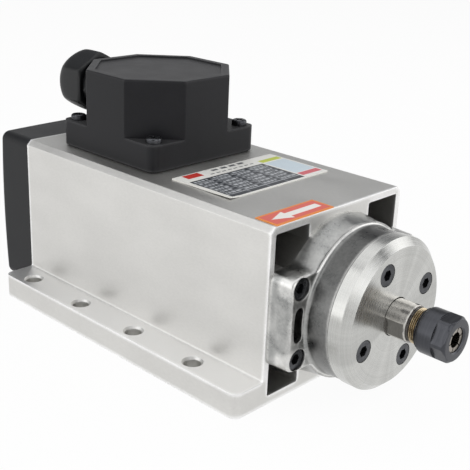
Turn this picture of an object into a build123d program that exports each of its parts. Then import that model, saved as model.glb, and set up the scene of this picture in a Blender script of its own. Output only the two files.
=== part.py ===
from build123d import *
import os
from math import asin, cos, degrees, radians, sin, sqrt, tan

# Square air-cooled router spindle motor with a collet nose.
# Frame: +X runs along the shaft towards the collet nose, +Z is up. The origin is on the underside
# of the feet, at the centre of the grid of mounting holes. All lengths are in millimetres.

os.makedirs("parts", exist_ok=True)

# ---------------------------------------------------------------- driving dimensions

# extruded body with its two feet
body_width = 80.0
body_height = 73.0
body_length = 152.0
front_overhang = 30.0           # front mounting hole to the front face
hole_pitch = 36.0
hole_columns = 4
hole_edge_margin = 6.5          # hole axis to the outer edge of the foot
hole_diameter = 7.0
hole_chamfer = 0.9
foot_width = 110.0
foot_thickness = 10.5
foot_corner_radius = 3.5
foot_root_fillet = 1.0
roof_edge_chamfer = 2.2
side_wall = 2.6
roof_wall = 3.0
floor_wall = 3.7
roof_land_width = 36.8          # solid land between the two roof air channels
floor_land_width = 39.6
stator_bore_diameter = 60.0
barrel_wall = 2.5
channel_corner_radius = 0.8
ear_screw_inset = 6.5           # end casting screws to the side of the body
ear_screw_z = 14.4              # above and below the shaft axis
screw_boss_diameter = 10.0
register_fit = 0.05             # radial clearance of spigots, screws and plain threads
rear_screw_y = 15.5
rear_screw_inset = 5.0          # fan cover screws to the roof and floor

# cap screws
m5_shank = 5.0
m5_head = 8.5
m5_head_height = 5.0
m5_socket = 4.0
m4_shank = 4.0
m4_head = 7.0
m4_head_height = 4.0
m4_socket = 3.0
socket_depth = 2.5
head_clearance = 0.25           # radial, head to counterbore
shank_clearance = 0.25          # radial, shank to through hole

# front bearing housing, cast, with a screwed ear on each side
flange_thickness = 10.5
flange_base_radius = 33.6
flange_front_radius = 32.1
ear_side_inset = 0.6            # side of the ear to the side of the body
ear_end_margin = 5.3            # ear screw to the end of the ear
ear_corner_radius = 3.0
ear_draft = 2.0                 # degrees
barrel_nose_radius = 30.4
barrel_nose_length = 10.9
barrel_nose_draft = 0.5         # degrees
nose_root_fillet = 0.8
cast_edge_radius = 0.7
front_spigot_length = 4.0
ear_counterbore_depth = 6.0
front_ear_screw_length = 18.0
vent_slot_width = 4.6
vent_slot_radius = 34.4
vent_slot_half_height = 4.9
winding_recess_rear_radius = 26.5   # recess of the casting towards the windings
winding_recess_front_radius = 24.0
winding_recess_depth = 3.0

# front bearing cover
cover_radius = 30.8
cover_thickness = 8.3
cover_chamfer = 3.0
cover_screw_circle = 41.4
cover_screw_angle = 23.5        # first screw, from +Y towards +Z
cover_screw_length = 16.0
cover_tap_depth = 14.0
cover_head_depth = 5.1          # counterbore, so that the heads lie flush
cover_spigot_length = 1.0
seal_length = 4.4               # labyrinth ring on the shaft, ahead of the bearings
seal_radius = 11.6
seal_gap = 0.4
nose_hole_diameter = 15.6

# bearings 15 x 32 x 9
bearing_bore = 15.0
bearing_outer = 32.0
bearing_width = 9.0
bearing_count_front = 2
ball_diameter = 4.762
ball_count = 9
bearing_inner_land = 19.8       # outside diameter of the inner ring
bearing_outer_land = 27.2       # inside diameter of the outer ring
race_clearance = 0.03
bearing_seat_fit = 0.02
cage_wall = 1.3
cage_ring_width = 1.1
cage_finger_width = 1.6

# shaft
shaft_shoulder_radius = 9.5
shaft_core_radius = 8.5
nose_thread_diameter = 14.0
nose_thread_length = 12.5
nose_overhang = 22.3            # cover face to shaft end
wrench_flat_across = 13.0
wrench_flat_length = 8.2
tool_bore_diameter = 7.0
tool_bore_depth = 34.0
fan_seat_radius = 5.0

# ER11 collet and its nut
collet_bore = 6.0
collet_length = 18.0
collet_max_radius = 5.75
collet_face_radius = 4.7
collet_front_lip = 1.4
collet_groove_width = 1.2
collet_groove_radius = 4.75
collet_face_to_taper = 3.0      # front face to the start of the taper
collet_taper = 8.0              # degrees, half angle
collet_front_cone = 30.0        # degrees, half angle
collet_slit = 0.5
collet_slit_count = 6
collet_slit_margin = 3.0
collet_slit_angle = 15.0        # first front slit, from +Y towards +Z
collet_fit = 0.05
collet_stand_out = 3.6          # collet face ahead of the shaft end
nut_diameter = 18.0
nut_length = 13.4
nut_across_flats = 16.2
nut_flat_length = 5.6
nut_front_lip = 0.8             # nut face ahead of the collet face
nut_front_chamfer = 1.0
nut_back_chamfer = 1.5
nut_flat_angle = 34.5           # first hexagon flat, from +Y towards +Z
wrench_flat_angle = 15.0        # shaft flats, from +Y towards +Z

# motor iron
core_length = 78.0
core_front_gap = 34.0           # front face of the body to the core
air_gap = 0.4
rotor_radius = 16.0
slot_count = 18
slot_bottom_radius = 25.6
slot_top_radius = 18.6
slot_width = 4.0
slot_mouth = 1.6
slot_liner = 0.15
end_turn_length = 13.0
end_turn_inner_radius = 19.0
end_turn_outer_radius = 28.0
end_turn_round = 3.0
rotor_bar_count = 14
rotor_bar_width = 2.6
rotor_bar_height = 4.6
rotor_bar_inner_radius = 10.6
end_ring_length = 6.0
end_ring_inner_radius = 10.3
end_ring_outer_radius = 15.6

# rear end bell
bell_flange_thickness = 5.0
bell_radius = 31.0
bell_ear_gap = 0.3              # ears of the bell to the wall of the fan cover
bell_spigot_length = 5.0
bell_hub_radius = 19.0
bell_hub_length = 8.5           # behind the rear face of the body
bell_wall = 2.8
bell_vent_radius = 34.0
bell_vent_width = 3.6
bell_screw_length = 15.0
spring_height = 2.2             # preload spring behind the rear bearing
spring_outer_radius = 15.6
spring_wall = 1.8
spring_strip = 0.4

# cooling fan and its plastic cover
fan_radius = 28.0
fan_hub_radius = 8.5
fan_plate_thickness = 1.4
fan_blade_height = 7.6
fan_blade_thickness = 1.5
fan_blade_count = 9
fan_gap = 1.8                   # end bell hub to the fan plate
fan_ring_thickness = 1.0
fan_ring_groove_radius = 4.6
fan_ring_outer_radius = 7.0
fan_ring_opening = 50.0         # degrees
fan_blade_curve_center = (-2.5, -21.8)
fan_blade_curve_radius = 24.0
fan_cover_depth = 25.5
fan_cover_corner = 4.0
fan_cover_edge = 3.0
fan_cover_wall = 2.5
fan_cover_crown_radius = 450.0
fan_cover_pillar_diameter = 8.0
fan_cover_head_boss_diameter = 9.6
fan_cover_head_boss_start = 11.0   # behind the rear face of the body
fan_cover_seat_depth = 4.2      # screw head seat ahead of the crown
fan_cover_screw_length = 30.0
grille_first_radius = 6.0
grille_slot = 3.2
grille_bar = 2.4
grille_rings = 4
grille_spokes = 6
grille_spoke_width = 3.0

# junction box on the roof
box_center_x = -21.7
box_size = 62.0
box_corner_radius = 4.0
box_ledge_height = 12.0
box_height = 37.0
box_wall = 2.5
box_roof = 2.4
box_rim = 3.6
box_recess = 0.8
box_edge_radius = 0.7
box_screw_inset = 5.3
box_gasket = 0.8
box_gasket_inset = 1.0
box_gasket_width = 4.0
pan_head_diameter = 6.8
pan_head_height = 2.4
pan_head_slot = 1.0
pan_head_slot_depth = 0.9

# terminal block, leads and their bush
lead_hole_setback = 8.0         # behind the rear of the core
lead_hole_diameter = 12.0
lead_bush_wall = 1.2
lead_bush_flange = 1.5
lead_diameter = 2.2
lead_spacing = 2.7
lead_bend_radius = 6.0
rear_ear_tap_depth = 12.0
fan_cover_tap_depth = 11.0
terminal_offset = 9.7           # ahead of the middle of the box
terminal_length = 16.0
terminal_width = 32.0
terminal_base_height = 9.0
terminal_barrier_height = 4.0
terminal_barrier = 1.4
terminal_count = 4
terminal_screw_diameter = 4.0
terminal_screw_head = 1.6
lead_entry_height = 6.5         # above the roof

# cable gland on the rear wall of the junction box
gland_height = 22.4             # axis above the roof of the body
gland_across_flats = 27.0
gland_thread_diameter = 20.0
gland_flange_length = 5.0
gland_body_diameter = 23.0
gland_body_reach = 17.5         # box wall to the mouth of the body
gland_bore = 15.0
gland_boss_diameter = 25.0
gland_boss_length = 4.0
gland_nut_gap = 10.2            # box wall to the back rim of the nut
gland_nut_length = 14.9
gland_dome_length = 3.6
gland_mouth_diameter = 14.0
gland_insert_diameter = 18.0
gland_insert_length = 12.5
gland_cable_bore = 10.0
gland_insert_fit = 0.1
gland_travel_in = 3.0
gland_cone = 2.0                # 45 degree cone pressing on the insert
gland_thread_length = 8.5       # through the box wall

# plates
rating_plate_gap = 9.4          # junction box to the plate
rating_plate_y = 1.4
rating_plate_length = 33.4
rating_plate_width = 60.0
rating_plate_thickness = 0.5
arrow_label_front_margin = 0.3
arrow_label_side_margin = 3.3
arrow_label_length = 11.0
arrow_label_width = 32.6
arrow_label_thickness = 0.3

# ---------------------------------------------------------------- derived stations and places

axis_height = body_height / 2
front_face = hole_pitch * (hole_columns - 1) / 2 + front_overhang
rear_face = front_face - body_length
roof = body_height
hole_row_spacing = foot_width - 2 * hole_edge_margin
ear_screw_y = body_width / 2 - ear_screw_inset
ear_half_width = body_width / 2 - ear_side_inset
ear_half_height = ear_screw_z + ear_end_margin
bell_ear_half_width = body_width / 2 - fan_cover_wall - bell_ear_gap
rear_screw_z = body_height / 2 - rear_screw_inset
stator_bore_radius = stator_bore_diameter / 2
barrel_radius = stator_bore_radius + barrel_wall

cover_seat = front_face + flange_thickness + barrel_nose_length
cover_face = cover_seat + cover_thickness
front_bearing_end = cover_seat - cover_spigot_length
front_bearing_start = front_bearing_end - bearing_count_front * bearing_width
seal_front = front_bearing_end + seal_length
shaft_end = cover_face + nose_overhang
collet_face = shaft_end + collet_stand_out
nut_face = collet_face + nut_front_lip
nut_back = nut_face - nut_length
nut_thread_front = shaft_end - 0.6
thread_start = shaft_end - nose_thread_length

core_front = front_face - core_front_gap
core_rear = core_front - core_length

bell_hub_end = rear_face - bell_hub_length
bell_pocket_end = bell_hub_end + bell_wall
rear_bearing_start = bell_pocket_end + spring_height
rear_bearing_end = rear_bearing_start + bearing_width
fan_plate_face = bell_hub_end - fan_gap
fan_rear = fan_plate_face - fan_plate_thickness - fan_blade_height
fan_cover_rear = rear_face - fan_cover_depth
fan_shaft_end = fan_rear - fan_ring_thickness - 1.0

box_rear_wall = box_center_x - box_size / 2
box_floor = roof + box_gasket
box_screw_pitch = box_size - 2 * box_screw_inset
lead_hole_x = core_rear - lead_hole_setback
terminal_x = box_center_x + terminal_offset
rating_plate_x = box_center_x + box_size / 2 + rating_plate_gap + rating_plate_length / 2
arrow_label_x = front_face - arrow_label_front_margin - arrow_label_length / 2
arrow_label_y = -body_width / 2 + arrow_label_side_margin + arrow_label_width / 2
ledge_top = roof + box_ledge_height
lid_top = roof + box_height
octagon_side = box_size * tan(radians(22.5))
gland_axis_height = roof + gland_height
gland_nut_back = box_rear_wall - gland_nut_gap
gland_nut_shoulder = gland_nut_back - gland_nut_length
gland_nut_tip = gland_nut_shoulder - gland_dome_length
gland_mouth = box_rear_wall - gland_body_reach
insert_tip = gland_nut_tip + 2.0
insert_front = insert_tip + gland_insert_length
box_screws = [(box_center_x + x, y) for x in (-box_screw_pitch / 2, box_screw_pitch / 2)
              for y in (-box_screw_pitch / 2, box_screw_pitch / 2)]

ear_screws = [(y, z) for y in (-ear_screw_y, ear_screw_y) for z in (-ear_screw_z, ear_screw_z)]
cover_screws = [(cover_screw_circle / 2 * cos(radians(cover_screw_angle + quarter)),
                 cover_screw_circle / 2 * sin(radians(cover_screw_angle + quarter)))
                for quarter in (0, 90, 180, 270)]
rear_screws = [(y, z) for y in (-rear_screw_y, rear_screw_y) for z in (-rear_screw_z, rear_screw_z)]

spindle_axis = Axis((0, 0, axis_height), (1, 0, 0))
gland_axis = Axis((0, 0, gland_axis_height), (-1, 0, 0))
half_plane = Plane(origin=(0, 0, axis_height), x_dir=(1, 0, 0), z_dir=(0, -1, 0))
gland_half_plane = Plane(origin=(0, 0, gland_axis_height), x_dir=(1, 0, 0), z_dir=(0, -1, 0))


def across(x, height=axis_height):
    """Plane square to the shaft at station x: local x is +Y, local y is +Z, normal +X."""
    return Plane(origin=(x, 0, height), x_dir=(0, 1, 0), z_dir=(1, 0, 0))


def side_vents(radius, width):
    """Pair of curved slots with rounded ends, one at each side of the shaft axis."""
    with BuildSketch() as vents:
        Circle(radius + width / 2)
        Circle(radius - width / 2, mode=Mode.SUBTRACT)
        Rectangle(2 * (radius + width), 2 * vent_slot_half_height + width, mode=Mode.INTERSECT)
        slot_ends = vents.vertices().filter_by(lambda v: abs(v.Y) > vent_slot_half_height)
        fillet(slot_ends, 0.45 * width)
    return vents.sketch_local


def turned(points, plane=half_plane):
    """Closed half section from (station, radius) points, ready to revolve."""
    with BuildSketch(plane) as half_section:
        with BuildLine():
            Polyline(*points, close=True)
        make_face()
    return half_section.sketch


def turned_ring(x_low, x_high, inner, outer, plane=half_plane):
    """Half section of a plain ring between two stations and two radii."""
    return turned([(x_low, inner), (x_high, inner), (x_high, outer), (x_low, outer)], plane)


def cap_screws(places, seat, direction, size, length):
    """Identical socket cap screws along X: head underside at seat, head pointing in direction."""
    shank, head, head_height, socket = size
    with BuildPart() as screws:
        with BuildSketch(across(seat)):
            with Locations(*places):
                Circle(head / 2)
        extrude(amount=direction * head_height)
        with BuildSketch(across(seat)):
            with Locations(*places):
                Circle(shank / 2 - register_fit)
        extrude(amount=-direction * length)
        with BuildSketch(across(seat + direction * head_height)):
            with Locations(*places):
                RegularPolygon(socket / 2, 6, major_radius=False)
        extrude(amount=-direction * socket_depth, mode=Mode.SUBTRACT)
    return screws.part


# ---------------------------------------------------------------- extruded body

# Two tall air channels run along each side, split by the screw bosses into roof, side and floor ducts.
duct_outer = body_width / 2 - side_wall
duct_top = axis_height - roof_wall
duct_bottom = axis_height - floor_wall
roof_duct_width = duct_outer - roof_land_width / 2
floor_duct_width = duct_outer - floor_land_width / 2

with BuildSketch(across(rear_face)) as ducts:
    for side in (-1, 1):
        with Locations((side * (duct_outer - roof_duct_width / 2), duct_top / 2)):
            Rectangle(roof_duct_width, duct_top)
        with Locations((side * (duct_outer - floor_duct_width / 2), -duct_bottom / 2)):
            Rectangle(floor_duct_width, duct_bottom)
    duct_rows = ducts.vertices().group_by(Axis.Y)
    fillet(duct_rows[0] + duct_rows[-1], channel_corner_radius)
    Circle(barrel_radius, mode=Mode.SUBTRACT)
    with Locations(*ear_screws):
        Circle(screw_boss_diameter / 2, mode=Mode.SUBTRACT)

with BuildPart() as body_extrusion:
    with BuildSketch(across(rear_face)) as outer_section:
        Rectangle(body_width, body_height)
        chamfer(outer_section.vertices().group_by(Axis.Y)[-1], roof_edge_chamfer)
    extrude(amount=body_length)
    with BuildSketch(Plane.XY):
        with Locations(((front_face + rear_face) / 2, 0)):
            RectangleRounded(body_length, foot_width, foot_corner_radius)
    extrude(amount=foot_thickness)
    foot_roots = body_extrusion.edges().filter_by(Axis.X).filter_by(
        lambda e: abs(e.center().Z - foot_thickness) < 0.01 and abs(e.center().Y) < body_width / 2 + 0.01)
    fillet(foot_roots, foot_root_fillet)
    with BuildSketch(across(rear_face)) as hollow_section:
        Circle(stator_bore_radius)
        add(ducts.sketch_local)
    extrude(amount=body_length, mode=Mode.SUBTRACT)
    with Locations(Plane.XY.offset(foot_thickness)):
        with GridLocations(hole_pitch, hole_row_spacing, hole_columns, 2):
            CounterSinkHole(hole_diameter / 2, hole_diameter / 2 + hole_chamfer, foot_thickness, 90)

    # tapped holes for the two end castings, the fan cover and the junction box, and the lead hole
    for end, inward, depth in ((front_face, -1, front_ear_screw_length), (rear_face, 1, rear_ear_tap_depth)):
        with BuildSketch(across(end)):
            with Locations(*ear_screws):
                Circle((m5_shank if inward < 0 else m4_shank) / 2)
        extrude(amount=inward * depth, mode=Mode.SUBTRACT)
    with BuildSketch(across(rear_face)):
        with Locations(*rear_screws):
            Circle(m4_shank / 2)
    extrude(amount=fan_cover_tap_depth, mode=Mode.SUBTRACT)
    with BuildSketch(Plane.XY.offset(roof)):
        with Locations(*box_screws):
            Circle(m4_shank / 2)
    extrude(amount=-roof_wall, mode=Mode.SUBTRACT)
    with BuildSketch(Plane.XY.offset(roof)):
        with Locations((lead_hole_x, 0)):
            Circle(lead_hole_diameter / 2)
    extrude(amount=-(roof - axis_height), mode=Mode.SUBTRACT)
body_extrusion.part.label = "body_extrusion"
export_step(body_extrusion.part, "parts/body_extrusion.step")

# ---------------------------------------------------------------- front bearing housing

with BuildPart() as front_bearing_housing:
    with BuildSketch(across(front_face)):
        Circle(flange_base_radius)
    extrude(amount=flange_thickness,
            taper=degrees(asin((flange_base_radius - flange_front_radius) / flange_thickness)))
    with BuildSketch(across(front_face)):
        RectangleRounded(2 * ear_half_width, 2 * ear_half_height, ear_corner_radius)
    extrude(amount=flange_thickness, taper=ear_draft)
    flange_rim = front_bearing_housing.edges().filter_by(
        lambda e: abs(e.center().X - front_face - flange_thickness) < 0.01)
    fillet(flange_rim, cast_edge_radius)
    with BuildSketch(across(front_face)):
        Circle(barrel_nose_radius + (flange_thickness + barrel_nose_length) * tan(radians(barrel_nose_draft)))
    extrude(amount=flange_thickness + barrel_nose_length, taper=barrel_nose_draft)
    nose_root = front_bearing_housing.edges().filter_by(GeomType.CIRCLE).filter_by(
        lambda e: abs(e.center().X - front_face - flange_thickness) < 0.01
        and e.radius > barrel_nose_radius - 0.5)
    fillet(nose_root, nose_root_fillet)
    with BuildSketch(across(front_face)):
        Circle(stator_bore_radius - register_fit)
    extrude(amount=-front_spigot_length)
    # bearing seat, shaft passage behind it and the lightening recess towards the windings
    revolve(turned([(front_bearing_start, 0), (cover_seat, 0),
                    (cover_seat, bearing_outer / 2 + bearing_seat_fit),
                    (front_bearing_start, bearing_outer / 2 + bearing_seat_fit)]),
            axis=spindle_axis, mode=Mode.SUBTRACT)
    revolve(turned_ring(front_face - front_spigot_length, front_bearing_start, 0, bearing_outer_land / 2 - 0.8),
            axis=spindle_axis, mode=Mode.SUBTRACT)
    recess_end = front_face - front_spigot_length + winding_recess_depth
    revolve(turned([(front_face - front_spigot_length, 0),
                    (front_face - front_spigot_length, winding_recess_rear_radius),
                    (recess_end, winding_recess_front_radius), (recess_end, 0)]),
            axis=spindle_axis, mode=Mode.SUBTRACT)
    # ear screws in counterbores, with an air vent between each pair
    with BuildSketch(across(front_face)):
        with Locations(*ear_screws):
            Circle(m5_shank / 2 + shank_clearance)
        add(side_vents(vent_slot_radius, vent_slot_width))
    extrude(amount=flange_thickness, mode=Mode.SUBTRACT)
    with BuildSketch(across(front_face + flange_thickness)):
        with Locations(*ear_screws):
            Circle(m5_head / 2 + head_clearance)
    extrude(amount=-ear_counterbore_depth, mode=Mode.SUBTRACT)
    with BuildSketch(across(cover_seat)):
        with Locations(*cover_screws):
            Circle(m5_shank / 2)
    extrude(amount=-cover_tap_depth, mode=Mode.SUBTRACT)
front_bearing_housing.part.label = "front_bearing_housing"
export_step(front_bearing_housing.part, "parts/front_bearing_housing.step")

# ---------------------------------------------------------------- front bearing cover and nose seal

with BuildPart() as front_bearing_cover:
    with BuildSketch(across(cover_seat)):
        Circle(cover_radius)
    extrude(amount=cover_thickness)
    chamfer(front_bearing_cover.edges().group_by(Axis.X)[-1], cover_chamfer)
    with BuildSketch(across(cover_seat)):
        Circle(bearing_outer / 2 - register_fit)
    extrude(amount=-cover_spigot_length)
    with BuildSketch(across(cover_face)):
        Circle(nose_hole_diameter / 2)
    extrude(amount=-(cover_thickness + cover_spigot_length), mode=Mode.SUBTRACT)
    revolve(turned_ring(front_bearing_end, seal_front + seal_gap, 0, seal_radius + seal_gap),
            axis=spindle_axis, mode=Mode.SUBTRACT)
    with BuildSketch(across(cover_face)):
        with Locations(*cover_screws):
            Circle(m5_shank / 2 + shank_clearance)
    extrude(amount=-cover_thickness, mode=Mode.SUBTRACT)
    with BuildSketch(across(cover_face)):
        with Locations(*cover_screws):
            Circle(m5_head / 2 + head_clearance)
    extrude(amount=-cover_head_depth, mode=Mode.SUBTRACT)
front_bearing_cover.part.label = "front_bearing_cover"
export_step(front_bearing_cover.part, "parts/front_bearing_cover.step")

with BuildPart() as nose_seal_ring:
    revolve(turned([(front_bearing_end, bearing_bore / 2), (seal_front, bearing_bore / 2),
                    (seal_front, seal_radius - 1.0), (seal_front - 1.0, seal_radius),
                    (front_bearing_end + 1.2, seal_radius), (front_bearing_end + 1.2, bearing_inner_land / 2 - 0.4),
                    (front_bearing_end, bearing_inner_land / 2 - 0.4)]), axis=spindle_axis)
nose_seal_ring.part.label = "nose_seal_ring"
export_step(nose_seal_ring.part, "parts/nose_seal_ring.step")

# ---------------------------------------------------------------- screws of the two end castings

m5_screw = (m5_shank, m5_head, m5_head_height, m5_socket)
m4_screw = (m4_shank, m4_head, m4_head_height, m4_socket)

with BuildPart() as front_cover_screws:
    add(cap_screws(cover_screws, cover_face - cover_head_depth, 1, m5_screw, cover_screw_length))
front_cover_screws.part.label = "front_cover_screws"
export_step(front_cover_screws.part, "parts/front_cover_screws.step")

with BuildPart() as front_housing_screws:
    add(cap_screws(ear_screws, front_face + flange_thickness - ear_counterbore_depth, 1,
                   m5_screw, front_ear_screw_length))
front_housing_screws.part.label = "front_housing_screws"
export_step(front_housing_screws.part, "parts/front_housing_screws.step")

# ---------------------------------------------------------------- bearings

ball_radius = ball_diameter / 2
pitch_radius = (bearing_bore + bearing_outer) / 4
race_radius = ball_radius + race_clearance
bearing_starts = {
    "front_bearing_1": front_bearing_start,
    "front_bearing_2": front_bearing_start + bearing_width,
    "rear_bearing": rear_bearing_start,
}

for bearing_name, start in bearing_starts.items():
    center = start + bearing_width / 2
    with BuildSketch(half_plane) as race_groove:
        with Locations((center, pitch_radius)):
            Circle(race_radius)

    with BuildPart() as outer_ring:
        revolve(turned_ring(start, start + bearing_width, bearing_outer_land / 2, bearing_outer / 2),
                axis=spindle_axis)
        revolve(race_groove.sketch, axis=spindle_axis, mode=Mode.SUBTRACT)
    outer_ring.part.label = f"{bearing_name}_outer_ring"
    export_step(outer_ring.part, f"parts/{bearing_name}_outer_ring.step")

    with BuildPart() as inner_ring:
        revolve(turned_ring(start, start + bearing_width, bearing_bore / 2, bearing_inner_land / 2),
                axis=spindle_axis)
        revolve(race_groove.sketch, axis=spindle_axis, mode=Mode.SUBTRACT)
    inner_ring.part.label = f"{bearing_name}_inner_ring"
    export_step(inner_ring.part, f"parts/{bearing_name}_inner_ring.step")

    # crown cage: a thin ring beside the balls with a finger between each pair
    with BuildPart() as ball_cage:
        revolve(turned_ring(center - ball_radius - 0.3 - cage_ring_width, center - ball_radius - 0.3,
                            pitch_radius - cage_wall / 2, pitch_radius + cage_wall / 2), axis=spindle_axis)
        with BuildSketch(across(center - ball_radius - 0.4)):
            with PolarLocations(pitch_radius, ball_count, start_angle=180 / ball_count):
                Rectangle(cage_wall * 0.8, cage_finger_width)
        extrude(amount=1.6 * ball_radius)
    ball_cage.part.label = f"{bearing_name}_cage"
    export_step(ball_cage.part, f"parts/{bearing_name}_cage.step")

    with BuildPart() as balls:
        with Locations(across(center)):
            with PolarLocations(pitch_radius, ball_count):
                Sphere(ball_radius)
    balls.part.label = f"{bearing_name}_balls"
    export_step(balls.part, f"parts/{bearing_name}_balls.step")

# ---------------------------------------------------------------- shaft and rotor

journal = bearing_bore / 2
thread_radius = nose_thread_diameter / 2 - register_fit
taper_run_out = (collet_stand_out - collet_face_to_taper) * tan(radians(collet_taper))
taper_front_radius = collet_max_radius - taper_run_out + collet_fit
taper_depth = collet_length - collet_stand_out + 0.5
taper_rear_radius = taper_front_radius - taper_depth * tan(radians(collet_taper))

with BuildPart() as rotor_shaft:
    revolve(turned([
        (fan_shaft_end, 0), (fan_shaft_end, fan_seat_radius - 0.4), (fan_shaft_end + 0.4, fan_seat_radius),
        (fan_rear - fan_ring_thickness, fan_seat_radius), (fan_rear - fan_ring_thickness, fan_ring_groove_radius),
        (fan_rear, fan_ring_groove_radius), (fan_rear, fan_seat_radius), (bell_hub_end - 1.0, fan_seat_radius),
        (bell_hub_end - 1.0, journal - 0.5), (rear_bearing_start, journal - 0.5),
        (rear_bearing_start, journal), (rear_bearing_end, journal),
        (rear_bearing_end, shaft_core_radius), (core_front, shaft_core_radius),
        (core_front, shaft_shoulder_radius), (front_bearing_start, shaft_shoulder_radius),
        (front_bearing_start, journal), (thread_start - 0.8, journal),
        (thread_start - 0.8, thread_radius - 0.5), (thread_start, thread_radius - 0.5),
        (thread_start, thread_radius), (shaft_end - 0.6, thread_radius), (shaft_end, thread_radius - 0.6),
        (shaft_end, 0)]), axis=spindle_axis)
    revolve(turned([
        (shaft_end, 0), (shaft_end, taper_front_radius), (shaft_end - taper_depth, taper_rear_radius),
        (shaft_end - taper_depth, tool_bore_diameter / 2), (shaft_end - tool_bore_depth, tool_bore_diameter / 2),
        (shaft_end - tool_bore_depth - 2.0, 0)]), axis=spindle_axis, mode=Mode.SUBTRACT)
    # two wrench flats on the nose
    for side in (-1, 1):
        with BuildSketch(across(cover_face + wrench_flat_length).rotated((0, 0, wrench_flat_angle))):
            with Locations((side * (wrench_flat_across / 2 + journal / 2), 0)):
                Rectangle(journal, 2 * journal)
        extrude(amount=-wrench_flat_length, mode=Mode.SUBTRACT)
rotor_shaft.part.label = "rotor_shaft"
export_step(rotor_shaft.part, "parts/rotor_shaft.step")

bar_middle = rotor_bar_inner_radius + rotor_bar_height / 2
with BuildSketch(across(core_rear)) as bar_section:
    with PolarLocations(bar_middle, rotor_bar_count):
        Rectangle(rotor_bar_height, rotor_bar_width)

with BuildPart() as rotor_core:
    with BuildSketch(across(core_rear)):
        Circle(rotor_radius)
        Circle(shaft_core_radius, mode=Mode.SUBTRACT)
        add(bar_section.sketch_local, mode=Mode.SUBTRACT)
    extrude(amount=core_length)
rotor_core.part.label = "rotor_core"
export_step(rotor_core.part, "parts/rotor_core.step")

with BuildPart() as rotor_cage:
    with BuildSketch(across(core_rear)):
        add(bar_section.sketch_local)
    extrude(amount=core_length)
    for end in (core_rear - end_ring_length, core_front):
        revolve(turned_ring(end, end + end_ring_length, end_ring_inner_radius, end_ring_outer_radius),
                axis=spindle_axis)
rotor_cage.part.label = "rotor_cage"
export_step(rotor_cage.part, "parts/rotor_cage.step")

# ---------------------------------------------------------------- stator

slot_middle = (slot_top_radius + slot_bottom_radius) / 2
slot_depth = slot_bottom_radius - slot_top_radius

with BuildPart() as stator_core:
    with BuildSketch(across(core_rear)):
        Circle(stator_bore_radius)
        Circle(rotor_radius + air_gap, mode=Mode.SUBTRACT)
        with PolarLocations(slot_middle, slot_count):
            Rectangle(slot_depth, slot_width, mode=Mode.SUBTRACT)
        with PolarLocations((rotor_radius + slot_top_radius) / 2, slot_count):
            Rectangle(slot_top_radius - rotor_radius + 1.0, slot_mouth, mode=Mode.SUBTRACT)
    extrude(amount=core_length)
stator_core.part.label = "stator_core"
export_step(stator_core.part, "parts/stator_core.step")

with BuildPart() as stator_winding:
    with BuildSketch(across(core_rear)):
        with PolarLocations(slot_middle, slot_count):
            Rectangle(slot_depth - 2 * slot_liner, slot_width - 2 * slot_liner)
    extrude(amount=core_length)
    for end in (core_rear - end_turn_length, core_front):
        with BuildSketch(half_plane) as end_turn:
            with Locations((end + end_turn_length / 2, (end_turn_inner_radius + end_turn_outer_radius) / 2)):
                RectangleRounded(end_turn_length, end_turn_outer_radius - end_turn_inner_radius, end_turn_round)
        revolve(end_turn.sketch, axis=spindle_axis)
stator_winding.part.label = "stator_winding"
export_step(stator_winding.part, "parts/stator_winding.step")

# ---------------------------------------------------------------- collet and collet nut

with BuildPart() as collet_er11:
    cone_run = (collet_max_radius - 0.5 - collet_face_radius) / tan(radians(collet_front_cone))
    collet_rear = collet_face - collet_length
    taper_length = collet_length - collet_face_to_taper
    groove_end = collet_face - collet_front_lip - collet_groove_width
    revolve(turned([
        (collet_face, collet_bore / 2), (collet_face, collet_face_radius),
        (collet_face - cone_run, collet_max_radius - 0.5), (collet_face - collet_front_lip, collet_max_radius - 0.5),
        (collet_face - collet_front_lip, collet_groove_radius), (groove_end, collet_groove_radius),
        (groove_end, collet_max_radius), (collet_face - collet_face_to_taper, collet_max_radius),
        (collet_rear, collet_max_radius - taper_length * tan(radians(collet_taper))),
        (collet_rear, collet_bore / 2)]), axis=spindle_axis)
    # slits cut in turn from the front and from the rear
    for start, first_angle in ((collet_face, collet_slit_angle),
                               (collet_rear, collet_slit_angle + 180 / collet_slit_count)):
        with BuildSketch(across(start)):
            with PolarLocations(collet_max_radius / 2 + 0.6, collet_slit_count, start_angle=first_angle):
                Rectangle(collet_max_radius, collet_slit)
        extrude(amount=(collet_length - collet_slit_margin) * (-1 if start == collet_face else 1),
                mode=Mode.SUBTRACT)
collet_er11.part.label = "collet_er11"
export_step(collet_er11.part, "parts/collet_er11.step")

with BuildPart() as collet_nut:
    nut_radius = nut_diameter / 2
    thread_bore = nose_thread_diameter / 2 + register_fit
    cone_face = collet_face_radius + collet_fit / cos(radians(collet_front_cone))
    lip_bore = cone_face + cone_run * tan(radians(collet_front_cone))
    ridge_front = collet_face - collet_front_lip - 0.15
    ridge_rear = groove_end + 0.15
    revolve(turned([
        (nut_face, cone_face), (nut_face, nut_radius - nut_front_chamfer),
        (nut_face - nut_front_chamfer, nut_radius), (nut_back + nut_back_chamfer, nut_radius),
        (nut_back, nut_radius - nut_back_chamfer), (nut_back, thread_bore),
        (shaft_end + 0.2, thread_bore), (shaft_end + 0.2, collet_max_radius + 0.1),
        (ridge_rear, collet_max_radius + 0.1), (ridge_rear, collet_groove_radius + 0.1),
        (ridge_front, collet_groove_radius + 0.1), (ridge_front, lip_bore),
        (collet_face - cone_run, lip_bore), (collet_face, cone_face)]), axis=spindle_axis)
    with BuildSketch(across(nut_face)):
        Circle(nut_diameter)
        RegularPolygon(nut_across_flats / 2, 6, major_radius=False, rotation=nut_flat_angle - 30,
                       mode=Mode.SUBTRACT)
    extrude(amount=-nut_flat_length, mode=Mode.SUBTRACT)
collet_nut.part.label = "collet_nut"
export_step(collet_nut.part, "parts/collet_nut.step")

# ---------------------------------------------------------------- rear end bell

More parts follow.
